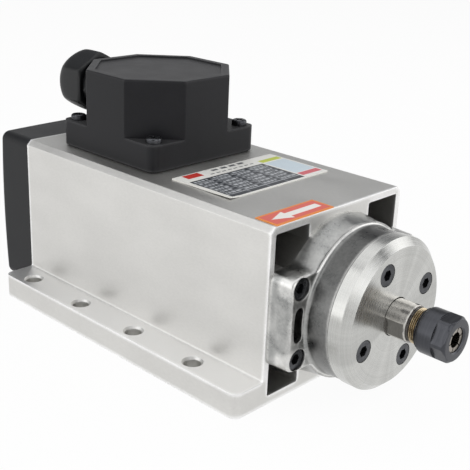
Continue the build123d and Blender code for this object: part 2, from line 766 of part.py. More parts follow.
with BuildPart() as rear_end_bell:
    with BuildSketch(across(rear_face)):
        Circle(bell_radius)
        RectangleRounded(2 * bell_ear_half_width, 2 * ear_half_height, ear_corner_radius)
    extrude(amount=-bell_flange_thickness)
    fillet(rear_end_bell.edges().group_by(Axis.X)[0], cast_edge_radius)
    with BuildSketch(across(rear_face)):
        Circle(stator_bore_radius - register_fit)
    extrude(amount=bell_spigot_length)
    with BuildSketch(across(rear_bearing_end)):
        Circle(bell_hub_radius)
    extrude(amount=bell_hub_end - rear_bearing_end)
    chamfer(rear_end_bell.edges().group_by(Axis.X)[0], 1.0)
    revolve(turned([(rear_bearing_end, 0), (rear_bearing_end, bearing_outer / 2 + bearing_seat_fit),
                    (bell_pocket_end, bearing_outer / 2 + bearing_seat_fit), (bell_pocket_end, journal + 0.5),
                    (bell_hub_end, journal + 0.5), (bell_hub_end, 0)]),
            axis=spindle_axis, mode=Mode.SUBTRACT)
    # the spigot is hollowed around the hub
    revolve(turned_ring(rear_face - 1.5, rear_face + bell_spigot_length, bell_hub_radius,
                        stator_bore_radius - 3.0), axis=spindle_axis, mode=Mode.SUBTRACT)
    with BuildSketch(across(rear_face)):
        with Locations(*ear_screws):
            Circle(m4_shank / 2 + shank_clearance)
        add(side_vents(bell_vent_radius, bell_vent_width))
    extrude(amount=-bell_flange_thickness, mode=Mode.SUBTRACT)
rear_end_bell.part.label = "rear_end_bell"
export_step(rear_end_bell.part, "parts/rear_end_bell.step")

with BuildPart() as rear_end_bell_screws:
    add(cap_screws(ear_screws, rear_face - bell_flange_thickness, -1, m4_screw, bell_screw_length))
rear_end_bell_screws.part.label = "rear_end_bell_screws"
export_step(rear_end_bell_screws.part, "parts/rear_end_bell_screws.step")

# curved washer that preloads the rear bearing: it touches the bell in the middle and the bearing at its ends
with BuildPart() as bearing_preload_spring:
    bow = spring_height - spring_strip
    bow_radius = (spring_outer_radius ** 2 + bow ** 2) / (2 * bow)
    with Locations(Location((bell_pocket_end + bow_radius, 0, axis_height), (90, 0, 0))):
        Cylinder(bow_radius, 3 * spring_outer_radius)
        Cylinder(bow_radius - spring_strip, 3 * spring_outer_radius, mode=Mode.SUBTRACT)
    with BuildSketch(across(bell_pocket_end)):
        Circle(spring_outer_radius)
        Circle(spring_outer_radius - spring_wall, mode=Mode.SUBTRACT)
    extrude(amount=spring_height, mode=Mode.INTERSECT)
bearing_preload_spring.part.label = "bearing_preload_spring"
export_step(bearing_preload_spring.part, "parts/bearing_preload_spring.step")

# ---------------------------------------------------------------- cooling fan

with BuildSketch(across(fan_plate_face - fan_plate_thickness)) as fan_blade:
    with Locations(fan_blade_curve_center):
        Circle(fan_blade_curve_radius + fan_blade_thickness / 2)
        Circle(fan_blade_curve_radius - fan_blade_thickness / 2, mode=Mode.SUBTRACT)
    Circle(fan_radius - 0.5, mode=Mode.INTERSECT)
    with Locations((fan_hub_radius - 1.0 + fan_radius / 2, 2 - fan_radius / 2)):
        Rectangle(fan_radius, fan_radius, mode=Mode.INTERSECT)

with BuildPart() as cooling_fan:
    with BuildSketch(across(fan_plate_face)):
        Circle(fan_radius)
    extrude(amount=-fan_plate_thickness)
    with BuildSketch(across(fan_plate_face - fan_plate_thickness)):
        Circle(fan_hub_radius)
        with PolarLocations(0, fan_blade_count):
            add(fan_blade.sketch_local)
    extrude(amount=-fan_blade_height)
    with BuildSketch(across(fan_plate_face)):
        Circle(fan_seat_radius)
    extrude(amount=fan_rear - fan_plate_face, mode=Mode.SUBTRACT)
cooling_fan.part.label = "cooling_fan"
export_step(cooling_fan.part, "parts/cooling_fan.step")

with BuildPart() as fan_retaining_ring:
    with BuildSketch(across(fan_rear)):
        Circle(fan_ring_outer_radius)
        Circle(fan_ring_groove_radius + 0.02, mode=Mode.SUBTRACT)
        with Locations((fan_ring_outer_radius, 0)):
            Rectangle(2 * fan_ring_outer_radius - 2, 2 * fan_ring_groove_radius * sin(radians(fan_ring_opening)),
                      mode=Mode.SUBTRACT)
    extrude(amount=-fan_ring_thickness)
fan_retaining_ring.part.label = "fan_retaining_ring"
export_step(fan_retaining_ring.part, "parts/fan_retaining_ring.step")

# ---------------------------------------------------------------- rear fan cover


def crowned_block(inset):
    """Fan cover outline, inset on every side, with its rear domed to a large radius."""
    with BuildPart() as block:
        with BuildSketch(across(rear_face)):
            RectangleRounded(body_width - 2 * inset, body_height - 2 * inset, fan_cover_corner - inset / 2)
        extrude(amount=-fan_cover_depth)
        with Locations((fan_cover_rear + inset + fan_cover_crown_radius, 0, axis_height)):
            Sphere(fan_cover_crown_radius, rotation=(0, 90, 0), mode=Mode.INTERSECT)
    return block.part


with BuildPart() as fan_cover_block:
    add(crowned_block(0))
    dome_face = fan_cover_block.faces().sort_by(Axis.X)[0]
    cover_rim = dome_face.edges()
    fillet(cover_rim, fan_cover_edge)

with BuildPart() as fan_cover_pillars:
    for start, diameter in ((0, fan_cover_pillar_diameter),
                            (fan_cover_head_boss_start, fan_cover_head_boss_diameter)):
        with BuildSketch(across(rear_face - start)):
            with Locations(*rear_screws):
                Circle(diameter / 2)
        extrude(amount=-(fan_cover_depth - start))
    add(fan_cover_block.part, mode=Mode.INTERSECT)

with BuildPart() as rear_fan_cover:
    add(fan_cover_block.part)
    add(crowned_block(fan_cover_wall), mode=Mode.SUBTRACT)
    add(fan_cover_pillars.part)
    with BuildSketch(across(fan_cover_rear)):
        for ring in reversed(range(grille_rings)):
            inner = grille_first_radius + ring * (grille_slot + grille_bar)
            Circle(inner + grille_slot)
            Circle(inner, mode=Mode.SUBTRACT)
        with PolarLocations(0, grille_spokes // 2, angular_range=180):
            Rectangle(2 * body_width, grille_spoke_width, mode=Mode.SUBTRACT)
    extrude(amount=fan_cover_wall + 1.0, mode=Mode.SUBTRACT)
    with BuildSketch(across(fan_cover_rear)):
        with Locations(*rear_screws):
            Circle(m4_shank / 2 + shank_clearance)
    extrude(amount=fan_cover_depth, mode=Mode.SUBTRACT)
    with BuildSketch(across(fan_cover_rear)):
        with Locations(*rear_screws):
            Circle(m4_head / 2 + head_clearance)
    extrude(amount=fan_cover_seat_depth, mode=Mode.SUBTRACT)
rear_fan_cover.part.label = "rear_fan_cover"
export_step(rear_fan_cover.part, "parts/rear_fan_cover.step")

with BuildPart() as fan_cover_screws:
    add(cap_screws(rear_screws, fan_cover_rear + fan_cover_seat_depth, -1,
                   (m4_shank, m4_head, m4_head_height - 1.4, m4_socket), fan_cover_screw_length))
fan_cover_screws.part.label = "fan_cover_screws"
export_step(fan_cover_screws.part, "parts/fan_cover_screws.step")

# ---------------------------------------------------------------- junction box

with BuildPart() as junction_box_gasket:
    with BuildSketch(Plane.XY.offset(roof)):
        with Locations((box_center_x, 0)):
            gasket_size = box_size - 2 * box_gasket_inset
            RectangleRounded(gasket_size, gasket_size, box_corner_radius - box_gasket_inset)
            inner_size = gasket_size - 2 * box_gasket_width
            RectangleRounded(inner_size, inner_size, box_corner_radius - box_gasket_inset, mode=Mode.SUBTRACT)
        with Locations(*box_screws):
            Circle(m4_shank)
            Circle(m4_shank / 2 + shank_clearance, mode=Mode.SUBTRACT)
    extrude(amount=box_gasket)
junction_box_gasket.part.label = "junction_box_gasket"
export_step(junction_box_gasket.part, "parts/junction_box_gasket.step")

with BuildPart() as junction_box_cover:
    with BuildSketch(Plane.XY.offset(box_floor)):
        with Locations((box_center_x, 0)):
            RectangleRounded(box_size, box_size, box_corner_radius)
    extrude(amount=ledge_top - box_floor)
    with BuildSketch(Plane.XY.offset(box_floor)):
        with Locations((box_center_x, 0)):
            RegularPolygon(box_size / 2, 8, major_radius=False, rotation=22.5)
    extrude(amount=lid_top - box_floor)
    lid_corners = junction_box_cover.edges().filter_by(Axis.Z).filter_by(lambda e: e.center().Z > ledge_top)
    fillet(lid_corners, box_edge_radius)
    fillet(junction_box_cover.edges().group_by(Axis.Z)[-1], box_edge_radius)
    with BuildSketch(Plane.XY.offset(lid_top)):
        with Locations((box_center_x, 0)):
            RegularPolygon(box_size / 2 - box_rim, 8, major_radius=False, rotation=22.5)
    extrude(amount=-box_recess, mode=Mode.SUBTRACT)
    with BuildSketch(Plane.XY.offset(box_floor)):
        with Locations((box_center_x, 0)):
            RegularPolygon(box_size / 2 - box_wall, 8, major_radius=False, rotation=22.5)
    extrude(amount=lid_top - box_roof - box_floor, mode=Mode.SUBTRACT)
    # boss for the gland thread, inside the rear wall
    with BuildSketch(across(box_rear_wall + box_wall, gland_axis_height)):
        Circle(gland_boss_diameter / 2)
        Rectangle(gland_boss_diameter, 2 * (lid_top - box_roof - gland_axis_height), mode=Mode.INTERSECT)
    extrude(amount=gland_boss_length)
    with BuildSketch(across(box_rear_wall, gland_axis_height)):
        Circle(gland_thread_diameter / 2)
    extrude(amount=box_wall + gland_boss_length, mode=Mode.SUBTRACT)
    with BuildSketch(Plane.XY.offset(ledge_top)):
        with Locations(*box_screws):
            Circle(m4_shank / 2 + shank_clearance)
    extrude(amount=-(ledge_top - box_floor), mode=Mode.SUBTRACT)
junction_box_cover.part.label = "junction_box_cover"
export_step(junction_box_cover.part, "parts/junction_box_cover.step")

with BuildPart() as junction_box_screws:
    with BuildSketch(Plane.XY.offset(ledge_top)):
        with Locations(*box_screws):
            Circle(pan_head_diameter / 2)
    extrude(amount=pan_head_height)
    fillet(junction_box_screws.edges().group_by(Axis.Z)[-1], 0.9)
    with BuildSketch(Plane.XY.offset(ledge_top)):
        with Locations(*box_screws):
            Circle(m4_shank / 2 - register_fit)
    extrude(amount=-(ledge_top - roof + roof_wall))
    with BuildSketch(Plane.XY.offset(ledge_top + pan_head_height)):
        with Locations(*box_screws):
            Rectangle(pan_head_diameter - 1.8, pan_head_slot)
            Rectangle(pan_head_slot, pan_head_diameter - 1.8)
    extrude(amount=-pan_head_slot_depth, mode=Mode.SUBTRACT)
junction_box_screws.part.label = "junction_box_screws"
export_step(junction_box_screws.part, "parts/junction_box_screws.step")

# ---------------------------------------------------------------- terminal block and leads

terminal_pitch = (terminal_width - terminal_barrier) / terminal_count
terminal_points = [(terminal_x + x, (row - (terminal_count - 1) / 2) * terminal_pitch)
                   for x in (-terminal_length / 4, terminal_length / 4) for row in range(terminal_count)]

with BuildPart() as terminal_block:
    with BuildSketch(Plane.XY.offset(roof)):
        with Locations((terminal_x, 0)):
            Rectangle(terminal_length, terminal_width)
    extrude(amount=terminal_base_height)
    with BuildSketch(Plane.XY.offset(roof + terminal_base_height)):
        with Locations((terminal_x, 0)):
            with GridLocations(0, terminal_pitch, 1, terminal_count + 1):
                Rectangle(terminal_length, terminal_barrier)
    extrude(amount=terminal_barrier_height)
    with BuildSketch(Plane.XY.offset(roof + terminal_base_height)):
        with Locations(*terminal_points):
            Circle(terminal_screw_diameter / 2 - 0.5)
    extrude(amount=-5.0, mode=Mode.SUBTRACT)
terminal_block.part.label = "terminal_block"
export_step(terminal_block.part, "parts/terminal_block.step")

with BuildPart() as terminal_screws:
    with BuildSketch(Plane.XY.offset(roof + terminal_base_height)):
        with Locations(*terminal_points):
            Circle(terminal_screw_diameter / 2 + 0.8)
    extrude(amount=terminal_screw_head)
    with BuildSketch(Plane.XY.offset(roof + terminal_base_height)):
        with Locations(*terminal_points):
            Circle(terminal_screw_diameter / 2 - 0.5 - register_fit)
    extrude(amount=-4.8)
    with BuildSketch(Plane.XY.offset(roof + terminal_base_height + terminal_screw_head)):
        with Locations(*terminal_points):
            Rectangle(terminal_screw_diameter, 0.8)
    extrude(amount=-0.8, mode=Mode.SUBTRACT)
terminal_screws.part.label = "terminal_screws"
export_step(terminal_screws.part, "parts/terminal_screws.step")

with BuildPart() as lead_bush:
    bush_outer = lead_hole_diameter / 2 - register_fit
    with BuildSketch(Plane.XY.offset(roof)):
        with Locations((lead_hole_x, 0)):
            Circle(bush_outer + lead_bush_flange)
    extrude(amount=lead_bush_flange)
    with BuildSketch(Plane.XY.offset(roof)):
        with Locations((lead_hole_x, 0)):
            Circle(bush_outer)
    extrude(amount=-(axis_height - stator_bore_radius - 1.0))
    with BuildSketch(Plane.XY.offset(roof + lead_bush_flange)):
        with Locations((lead_hole_x, 0)):
            Circle(bush_outer - lead_bush_wall)
    extrude(amount=-(axis_height - stator_bore_radius + 1.0), mode=Mode.SUBTRACT)
lead_bush.part.label = "lead_bush"
export_step(lead_bush.part, "parts/lead_bush.step")

with BuildPart() as motor_leads:
    lead_low = axis_height + end_turn_outer_radius + 0.02
    lead_high = roof + lead_entry_height
    for lead in (-1, 0, 1):
        y = lead * lead_spacing
        with BuildLine() as lead_path:
            Line((lead_hole_x, y, lead_low), (lead_hole_x, y, lead_high - lead_bend_radius))
            TangentArc((lead_hole_x, y, lead_high - lead_bend_radius), (lead_hole_x + lead_bend_radius, y, lead_high),
                       tangent=(0, 0, 1))
            Line((lead_hole_x + lead_bend_radius, y, lead_high), (terminal_x - terminal_length / 2, y, lead_high))
        with BuildSketch(Plane(origin=(lead_hole_x, y, lead_low), z_dir=(0, 0, 1))):
            Circle(lead_diameter / 2)
        sweep(path=lead_path.line)
motor_leads.part.label = "motor_leads"
export_step(motor_leads.part, "parts/motor_leads.step")

# ---------------------------------------------------------------- cable gland

insert_bore = gland_insert_diameter / 2 + gland_insert_fit
body_radius = gland_body_diameter / 2

with BuildPart() as gland_body:
    with BuildSketch(across(box_rear_wall, gland_axis_height)):
        RegularPolygon(gland_across_flats / 2, 6, major_radius=False)
    extrude(amount=-gland_flange_length)
    chamfer(gland_body.edges().group_by(Axis.X)[0], 0.8)
    with BuildSketch(across(box_rear_wall, gland_axis_height)):
        Circle(gland_thread_diameter / 2 - register_fit)
    extrude(amount=gland_thread_length)
    with BuildSketch(across(box_rear_wall, gland_axis_height)):
        Circle(body_radius)
    extrude(amount=gland_mouth - box_rear_wall)
    chamfer(gland_body.edges().group_by(Axis.X)[0], 0.6)
    insert_stop = insert_front + gland_travel_in + 0.4
    revolve(turned([(gland_mouth, 0), (gland_mouth, insert_bore), (insert_stop, insert_bore),
                    (insert_stop, gland_bore / 2), (box_rear_wall + gland_thread_length, gland_bore / 2),
                    (box_rear_wall + gland_thread_length, 0)], gland_half_plane),
            axis=gland_axis, mode=Mode.SUBTRACT)
gland_body.part.label = "gland_body"
export_step(gland_body.part, "parts/gland_body.step")

with BuildPart() as gland_insert:
    insert_radius = gland_insert_diameter / 2
    revolve(turned([(insert_tip, gland_cable_bore / 2), (insert_tip, insert_radius - gland_cone),
                    (insert_tip + gland_cone, insert_radius), (insert_front - 0.8, insert_radius),
                    (insert_front, insert_radius - 0.8), (insert_front, gland_cable_bore / 2)],
                   gland_half_plane), axis=gland_axis)
gland_insert.part.label = "gland_insert"
export_step(gland_insert.part, "parts/gland_insert.step")

with BuildPart() as gland_nut:
    hex_corner = gland_across_flats / 2 / cos(radians(30))
    nut_bore_end = gland_mouth - gland_travel_in - 0.4
    with BuildSketch(across(gland_nut_back, gland_axis_height)):
        RegularPolygon(gland_across_flats / 2, 6, major_radius=False)
    extrude(amount=gland_nut_tip - gland_nut_back)
    # dome at the mouth and a light chamfer at the back, turned over the hexagon
    dome_edge = gland_across_flats / 2 - 0.4
    revolve(turned([(gland_nut_tip, gland_mouth_diameter / 2 + 1.6), (gland_nut_tip + 0.7, 11.0),
                    (gland_nut_tip + 2.0, dome_edge), (gland_nut_shoulder + 1.0, hex_corner),
                    (gland_nut_shoulder + 1.0, hex_corner + 4), (gland_nut_tip, hex_corner + 4)],
                   gland_half_plane), axis=gland_axis, mode=Mode.SUBTRACT)
    revolve(turned([(gland_nut_back, dome_edge), (gland_nut_back, hex_corner + 4),
                    (gland_nut_back - 1.2, hex_corner + 4), (gland_nut_back - 1.2, hex_corner)],
                   gland_half_plane), axis=gland_axis, mode=Mode.SUBTRACT)
    cone_back = gland_insert_fit * sqrt(2)
    revolve(turned([(gland_nut_tip, 0), (gland_nut_tip, gland_mouth_diameter / 2),
                    (insert_tip - cone_back, gland_mouth_diameter / 2),
                    (insert_tip - cone_back + gland_cone + gland_insert_fit, insert_bore),
                    (nut_bore_end, insert_bore), (nut_bore_end, body_radius + register_fit),
                    (gland_nut_back, body_radius + register_fit), (gland_nut_back, 0)],
                   gland_half_plane), axis=gland_axis, mode=Mode.SUBTRACT)
gland_nut.part.label = "gland_nut"
export_step(gland_nut.part, "parts/gland_nut.step")

# ---------------------------------------------------------------- plates on the roof

with BuildPart() as rating_plate:
    with BuildSketch(Plane.XY.offset(roof)):
        with Locations((rating_plate_x, rating_plate_y)):
            RectangleRounded(rating_plate_length, rating_plate_width, 1.2)
    extrude(amount=rating_plate_thickness)
rating_plate.part.label = "rating_plate"
export_step(rating_plate.part, "parts/rating_plate.step")

with BuildPart() as direction_label:
    with BuildSketch(Plane.XY.offset(roof)):
        with Locations((arrow_label_x, arrow_label_y)):
            RectangleRounded(arrow_label_length, arrow_label_width, 1.0)
    extrude(amount=arrow_label_thickness)
direction_label.part.label = "direction_label"
export_step(direction_label.part, "parts/direction_label.step")
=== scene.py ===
import logging
import math
from collections.abc import Callable, Iterable, Sequence
from dataclasses import dataclass
from enum import Enum
from typing import ClassVar

import bmesh
import bpy
import numpy as np
from mathutils import Matrix, Vector


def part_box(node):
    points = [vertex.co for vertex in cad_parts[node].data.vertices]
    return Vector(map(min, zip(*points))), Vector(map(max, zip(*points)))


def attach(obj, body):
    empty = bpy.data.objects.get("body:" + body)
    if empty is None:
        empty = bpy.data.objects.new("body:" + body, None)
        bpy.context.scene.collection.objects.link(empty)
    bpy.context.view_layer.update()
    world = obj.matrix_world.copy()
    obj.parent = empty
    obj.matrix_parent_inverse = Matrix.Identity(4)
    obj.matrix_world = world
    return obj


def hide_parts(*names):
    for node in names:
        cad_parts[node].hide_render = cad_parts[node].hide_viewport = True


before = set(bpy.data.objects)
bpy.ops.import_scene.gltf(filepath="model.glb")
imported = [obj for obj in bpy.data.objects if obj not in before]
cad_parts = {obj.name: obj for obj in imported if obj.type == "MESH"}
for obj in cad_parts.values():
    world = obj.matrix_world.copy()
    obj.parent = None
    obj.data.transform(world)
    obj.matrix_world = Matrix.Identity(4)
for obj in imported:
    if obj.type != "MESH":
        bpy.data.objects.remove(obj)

# Looks of a square air-cooled router spindle motor with a collet nose. Sizes in this file are in
# millimetres, in the frame of the solids: +X towards the collet, +Z up. Meshes are in metres.

MM = 0.001
MM_PER_METRE = 1000
TAU = 2 * math.pi
AXIS_HEIGHT = 36.5              # spindle axis above the underside of the feet
SHARP_ANGLE = 32.0              # edges that turn by more than this, in degrees, stay crisp
BLACK = (0.0, 0.0, 0.0, 1.0)
WHITE = (1.0, 1.0, 1.0, 1.0)

Node = bpy.types.Node
Socket = bpy.types.NodeSocket
Tree = bpy.types.NodeTree

log = logging.getLogger("spindle")


# ---------------------------------------------------------------- colour and nodes

def linear(code: str) -> tuple[float, float, float, float]:
    """Turns an sRGB hex colour into linear light.

    Args:
        code: six hex digits, such as "c8c9c8".

    Returns:
        Red, green, blue and an alpha of 1, each from 0 to 1.
    """
    levels = [int(code[i:i + 2], 16) / 255 for i in (0, 2, 4)]
    # The straight foot and the power curve of the sRGB standard.
    light = [v / 12.92 if v <= 0.04045 else ((v + 0.055) / 1.055) ** 2.4 for v in levels]
    return light[0], light[1], light[2], 1.0


def add_node(tree: Tree, kind: str, inputs: dict | None = None, **settings: object) -> Node:
    """Adds one node with its settings and links.

    Args:
        tree: node tree that gets the node.
        kind: Blender's name of the node type.
        inputs: input name or number to a socket, which is linked, or to a plain value.
        settings: properties of the node itself.

    Returns:
        The new node.
    """
    node = tree.nodes.new(kind)
    for name, value in settings.items():
        setattr(node, name, value)
    for key, value in (inputs or {}).items():
        if isinstance(value, Socket):
            tree.links.new(value, node.inputs[key])
        else:
            node.inputs[key].default_value = value
    return node


def object_axes(tree: Tree) -> Node:
    """Splits the place on a piece, in metres.

    Args:
        tree: node tree that gets the nodes.

    Returns:
        A node with outputs X, Y and Z.
    """
    where = add_node(tree, "ShaderNodeTexCoord")
    return add_node(tree, "ShaderNodeSeparateXYZ", {0: where.outputs["Object"]})


def upward_facing(tree: Tree) -> Socket:
    """Tells how far a surface faces up.

    Args:
        tree: node tree that gets the nodes.

    Returns:
        The upward part of the normal: 1 on a level top, 0 on a wall.
    """
    facing = add_node(tree, "ShaderNodeNewGeometry")
    split = add_node(tree, "ShaderNodeSeparateXYZ", {0: facing.outputs["Normal"]})
    return split.outputs["Z"]


def off_middle(tree: Tree, inset_mm: float) -> Socket:
    """Tells which side of a distance from the middle plane a point lies.

    Args:
        tree: node tree that gets the nodes.
        inset_mm: distance from the plane through the spindle axis, in millimetres.

    Returns:
        1 further out than the distance, and 0 nearer.
    """
    beside = add_node(tree, "ShaderNodeMath", {0: object_axes(tree).outputs["Y"]},
                      operation="ABSOLUTE")
    outer = add_node(tree, "ShaderNodeMath", {0: beside.outputs[0], 1: inset_mm * MM},
                     operation="GREATER_THAN")
    return outer.outputs[0]


def mirror_or_clear_ray(tree: Tree, path: Node) -> Socket:
    """Picks the rays that reach a surface by a reflection or through glass.

    Args:
        tree: node tree that gets the node.
        path: its Light Path node.

    Returns:
        1 for such a ray, and 0 for any other.
    """
    clear = add_node(tree, "ShaderNodeMath",
                     {0: path.outputs["Is Glossy Ray"], 1: path.outputs["Is Transmission Ray"]},
                     operation="MAXIMUM")
    return clear.outputs[0]


@dataclass(frozen=True)
class Finish:
    """A finish whose tone, gloss and relief follow a fine grain in the material.

    The grain is noise with features of grain_mm, and a second, coarser noise of cloud_mm shifts
    the tone and the gloss over larger patches, by cloud_share. edge_mm rounds the look of sharp
    edges. Where shaded_recess_mm isn't 0, painted shade darkens recesses narrower than about that,
    by recess_shade_depth at most, within shaded_recess_half_width_mm of the middle plane. Level
    faces below level_top_mm, and further than level_inset_mm from the middle plane, get painted
    light: they turn to level_light_tone by level_light_share. Where edge_highlight_mm isn't 0,
    outer edges get a painted highlight of edge_highlight_tone, by edge_highlight_share at most,
    over a band of about a third of it. It has to be less than the wall is thick.
    """

    name: str
    tone: str
    tone_low: str
    metallic: float
    roughness: float
    spread: float = 0.06
    grain_mm: float = 0.6
    cloud_mm: float = 9.0
    relief_mm: float = 0.01
    stretch: tuple[float, float, float] = (1.0, 1.0, 1.0)
    edge_mm: float = 0.25
    coat: float = 0.0
    coat_roughness: float = 0.1
    ior: float = 1.5
    specular: float = 0.5
    anisotropy: float = 0.0
    cloud_share: float = 0.5
    shaded_recess_mm: float = 0.0
    recess_shade_depth: float = 0.9
    shaded_recess_half_width_mm: float = 1000.0
    level_light_share: float = 0.0
    level_light_tone: str = "b4b4b4"
    level_top_mm: float = 1000.0
    level_inset_mm: float = 0.0
    edge_highlight_mm: float = 0.0
    edge_highlight_share: float = 0.5
    edge_highlight_tone: str = "f6f5f2"

    # Bands of noise, open sky or upward facing over which an effect goes from none to full.
    noise_band: ClassVar[tuple[float, float]] = (0.34, 0.66)
    recess_band: ClassVar[tuple[float, float]] = (0.10, 0.40)
    level_band: ClassVar[tuple[float, float]] = (0.8, 1.0)
    edge_highlight_band: ClassVar[tuple[float, float]] = (0.85, 0.6)
    # Share of the painted edge highlight that is left where the pattern is 0.
    edge_highlight_least: ClassVar[float] = 0.55
    occlusion_samples: ClassVar[int] = 8
    bevel_samples: ClassVar[int] = 4

    def place(self, tree: Tree) -> Socket:
        """Finds the vector on which the grain is read.

        Args:
            tree: node tree that gets the nodes.

        Returns:
            The place on the piece in metres, squeezed along the stretch.
        """
        where = add_node(tree, "ShaderNodeTexCoord")
        squeeze = tuple(1 / s for s in self.stretch)
        mapping = add_node(tree, "ShaderNodeMapping",
                           {"Vector": where.outputs["Object"], "Scale": squeeze})
        return mapping.outputs["Vector"]

    def colour(self, tree: Tree, pattern: Socket) -> Socket:
        """Mixes the base colour.

        Args:
            tree: node tree that gets the nodes.
            pattern: grain and cloud, from 0 to 1.

        Returns:
            The low tone where the pattern is 0, and the full tone where it is 1.
        """
        mix = add_node(tree, "ShaderNodeMix",
                       {0: pattern, 6: linear(self.tone_low), 7: linear(self.tone)},
                       data_type="RGBA")
        return mix.outputs[2]

    def tangent(self, tree: Tree) -> Socket | None:
        """Direction of the tool marks, for finishes that have one."""
        return None

    def shade_recesses(self, tree: Tree, base: Socket) -> Socket:
        """Paints shade into narrow recesses, where deep shade falls.

        Args:
            tree: node tree that gets the nodes.
            base: colour so far.

        Returns:
            The colour, mixed towards black where little of the sky is open.
        """
        if self.shaded_recess_mm == 0:
            return base
        # Painted shade: darker where little of the sky is open.
        open_sky = add_node(tree, "ShaderNodeAmbientOcclusion", {"Distance": self.shaded_recess_mm * MM},
                            samples=self.occlusion_samples, only_local=True)
        shade = add_node(tree, "ShaderNodeMapRange",
                         {"Value": open_sky.outputs["AO"], "From Min": self.recess_band[0],
                          "From Max": self.recess_band[1], "To Min": 1 - self.recess_shade_depth})
        kept = add_node(tree, "ShaderNodeMath",
                        {0: shade.outputs["Result"],
                         1: off_middle(tree, self.shaded_recess_half_width_mm)}, operation="MAXIMUM")
        darkened = add_node(tree, "ShaderNodeMix", {0: kept.outputs[0], 6: BLACK, 7: base},
                            data_type="RGBA")
        return darkened.outputs[2]

    def paint_level_light(self, tree: Tree, base: Socket) -> Socket:
        """Paints light on level faces: the tone that the open sky puts on them.

        Args:
            tree: node tree that gets the nodes.
            base: colour so far.

        Returns:
            The colour, mixed towards the painted light's tone where the face is level.
        """
        if self.level_light_share == 0:
            return base
        # Painted light on level faces.
        low = add_node(tree, "ShaderNodeMath",
                       {0: object_axes(tree).outputs["Z"], 1: self.level_top_mm * MM},
                       operation="LESS_THAN")
        settled = add_node(tree, "ShaderNodeMapRange",
                           {"Value": upward_facing(tree), "From Min": self.level_band[0],
                            "From Max": self.level_band[1], "To Max": self.level_light_share})
        there = add_node(tree, "ShaderNodeMath",
                         {0: low.outputs[0], 1: off_middle(tree, self.level_inset_mm)},
                         operation="MULTIPLY")
        share = add_node(tree, "ShaderNodeMath",
                         {0: settled.outputs["Result"], 1: there.outputs[0]},
                         operation="MULTIPLY")
        level = add_node(tree, "ShaderNodeMix",
                         {0: share.outputs[0], 6: base, 7: linear(self.level_light_tone)},
                         data_type="RGBA")
        return level.outputs[2]

    def paint_edge_highlight(self, tree: Tree, base: Socket, pattern: Socket) -> Socket:
        """Paints a highlight on the outer edges, less where the pattern is low.

        Args:
            tree: node tree that gets the nodes.
            base: colour so far.
            pattern: grain and cloud, from 0 to 1.

        Returns:
            The colour, mixed towards the highlight's tone where the solid behind is thin.
        """
        if self.edge_highlight_mm == 0:
            return base
        # Painted highlight where the solid behind is thin, as along outer edges.
        inner = add_node(tree, "ShaderNodeAmbientOcclusion", {"Distance": self.edge_highlight_mm * MM},
                         samples=self.occlusion_samples, inside=True, only_local=True)
        edge = add_node(tree, "ShaderNodeMapRange",
                        {"Value": inner.outputs["AO"], "From Min": self.edge_highlight_band[0],
                         "From Max": self.edge_highlight_band[1], "To Max": self.edge_highlight_share})
        patchy = add_node(tree, "ShaderNodeMapRange", {"Value": pattern, "To Min": self.edge_highlight_least})
        share = add_node(tree, "ShaderNodeMath",
                         {0: edge.outputs["Result"], 1: patchy.outputs["Result"]},
                         operation="MULTIPLY")
        highlighted = add_node(tree, "ShaderNodeMix",
                          {0: share.outputs[0], 6: base, 7: linear(self.edge_highlight_tone)},
                          data_type="RGBA")
        return highlighted.outputs[2]

    def make(self) -> bpy.types.Material:
        """Builds the material.

        Returns:
            A node material with the grain in its colour, roughness and relief.
        """
        material = bpy.data.materials.new(self.name)
        material.use_nodes = True
        tree = material.node_tree
        tree.nodes.clear()
        place = self.place(tree)
        grain = add_node(tree, "ShaderNodeTexNoise",
                         {"Vector": place, "Scale": MM_PER_METRE / self.grain_mm,
                          "Detail": 3.0, "Roughness": 0.6})
        cloud = add_node(tree, "ShaderNodeTexNoise",
                         {"Vector": place, "Scale": MM_PER_METRE / self.cloud_mm,
                          "Detail": 2.0, "Roughness": 0.5})
        both = add_node(tree, "ShaderNodeMix",
                        {0: self.cloud_share, 2: grain.outputs["Fac"], 3: cloud.outputs["Fac"]},
                        data_type="FLOAT")
        band = add_node(tree, "ShaderNodeMapRange",
                        {"Value": both.outputs[0], "From Min": self.noise_band[0],
                         "From Max": self.noise_band[1]})
        pattern = band.outputs["Result"]
        gloss = add_node(tree, "ShaderNodeMapRange",
                         {"Value": pattern, "To Min": self.roughness - self.spread,
                          "To Max": self.roughness + self.spread})
        rounded = add_node(tree, "ShaderNodeBevel", {"Radius": self.edge_mm * MM},
                           samples=self.bevel_samples)
        bump = add_node(tree, "ShaderNodeBump",
                        {"Height": grain.outputs["Fac"], "Distance": self.relief_mm * MM,
                         "Normal": rounded.outputs["Normal"]})
        base = self.colour(tree, pattern)
        base = self.shade_recesses(tree, base)
        base = self.paint_level_light(tree, base)
        base = self.paint_edge_highlight(tree, base, pattern)
        inputs = {"Base Color": base, "Metallic": self.metallic,
                  "Roughness": gloss.outputs["Result"], "Normal": bump.outputs["Normal"],
                  "Specular IOR Level": self.specular, "Coat Weight": self.coat,
                  "Coat Roughness": self.coat_roughness, "Anisotropic": self.anisotropy}
        if self.metallic == 0:
            inputs["IOR"] = self.ior
        marks = self.tangent(tree)
        if marks is not None:
            inputs["Tangent"] = marks
            # A quarter turn lays the highlight across the marks.
            inputs["Anisotropic Rotation"] = 0.25
        shader = add_node(tree, "ShaderNodeBsdfPrincipled", inputs)
        add_node(tree, "ShaderNodeOutputMaterial", {"Surface": shader.outputs["BSDF"]})
        return material


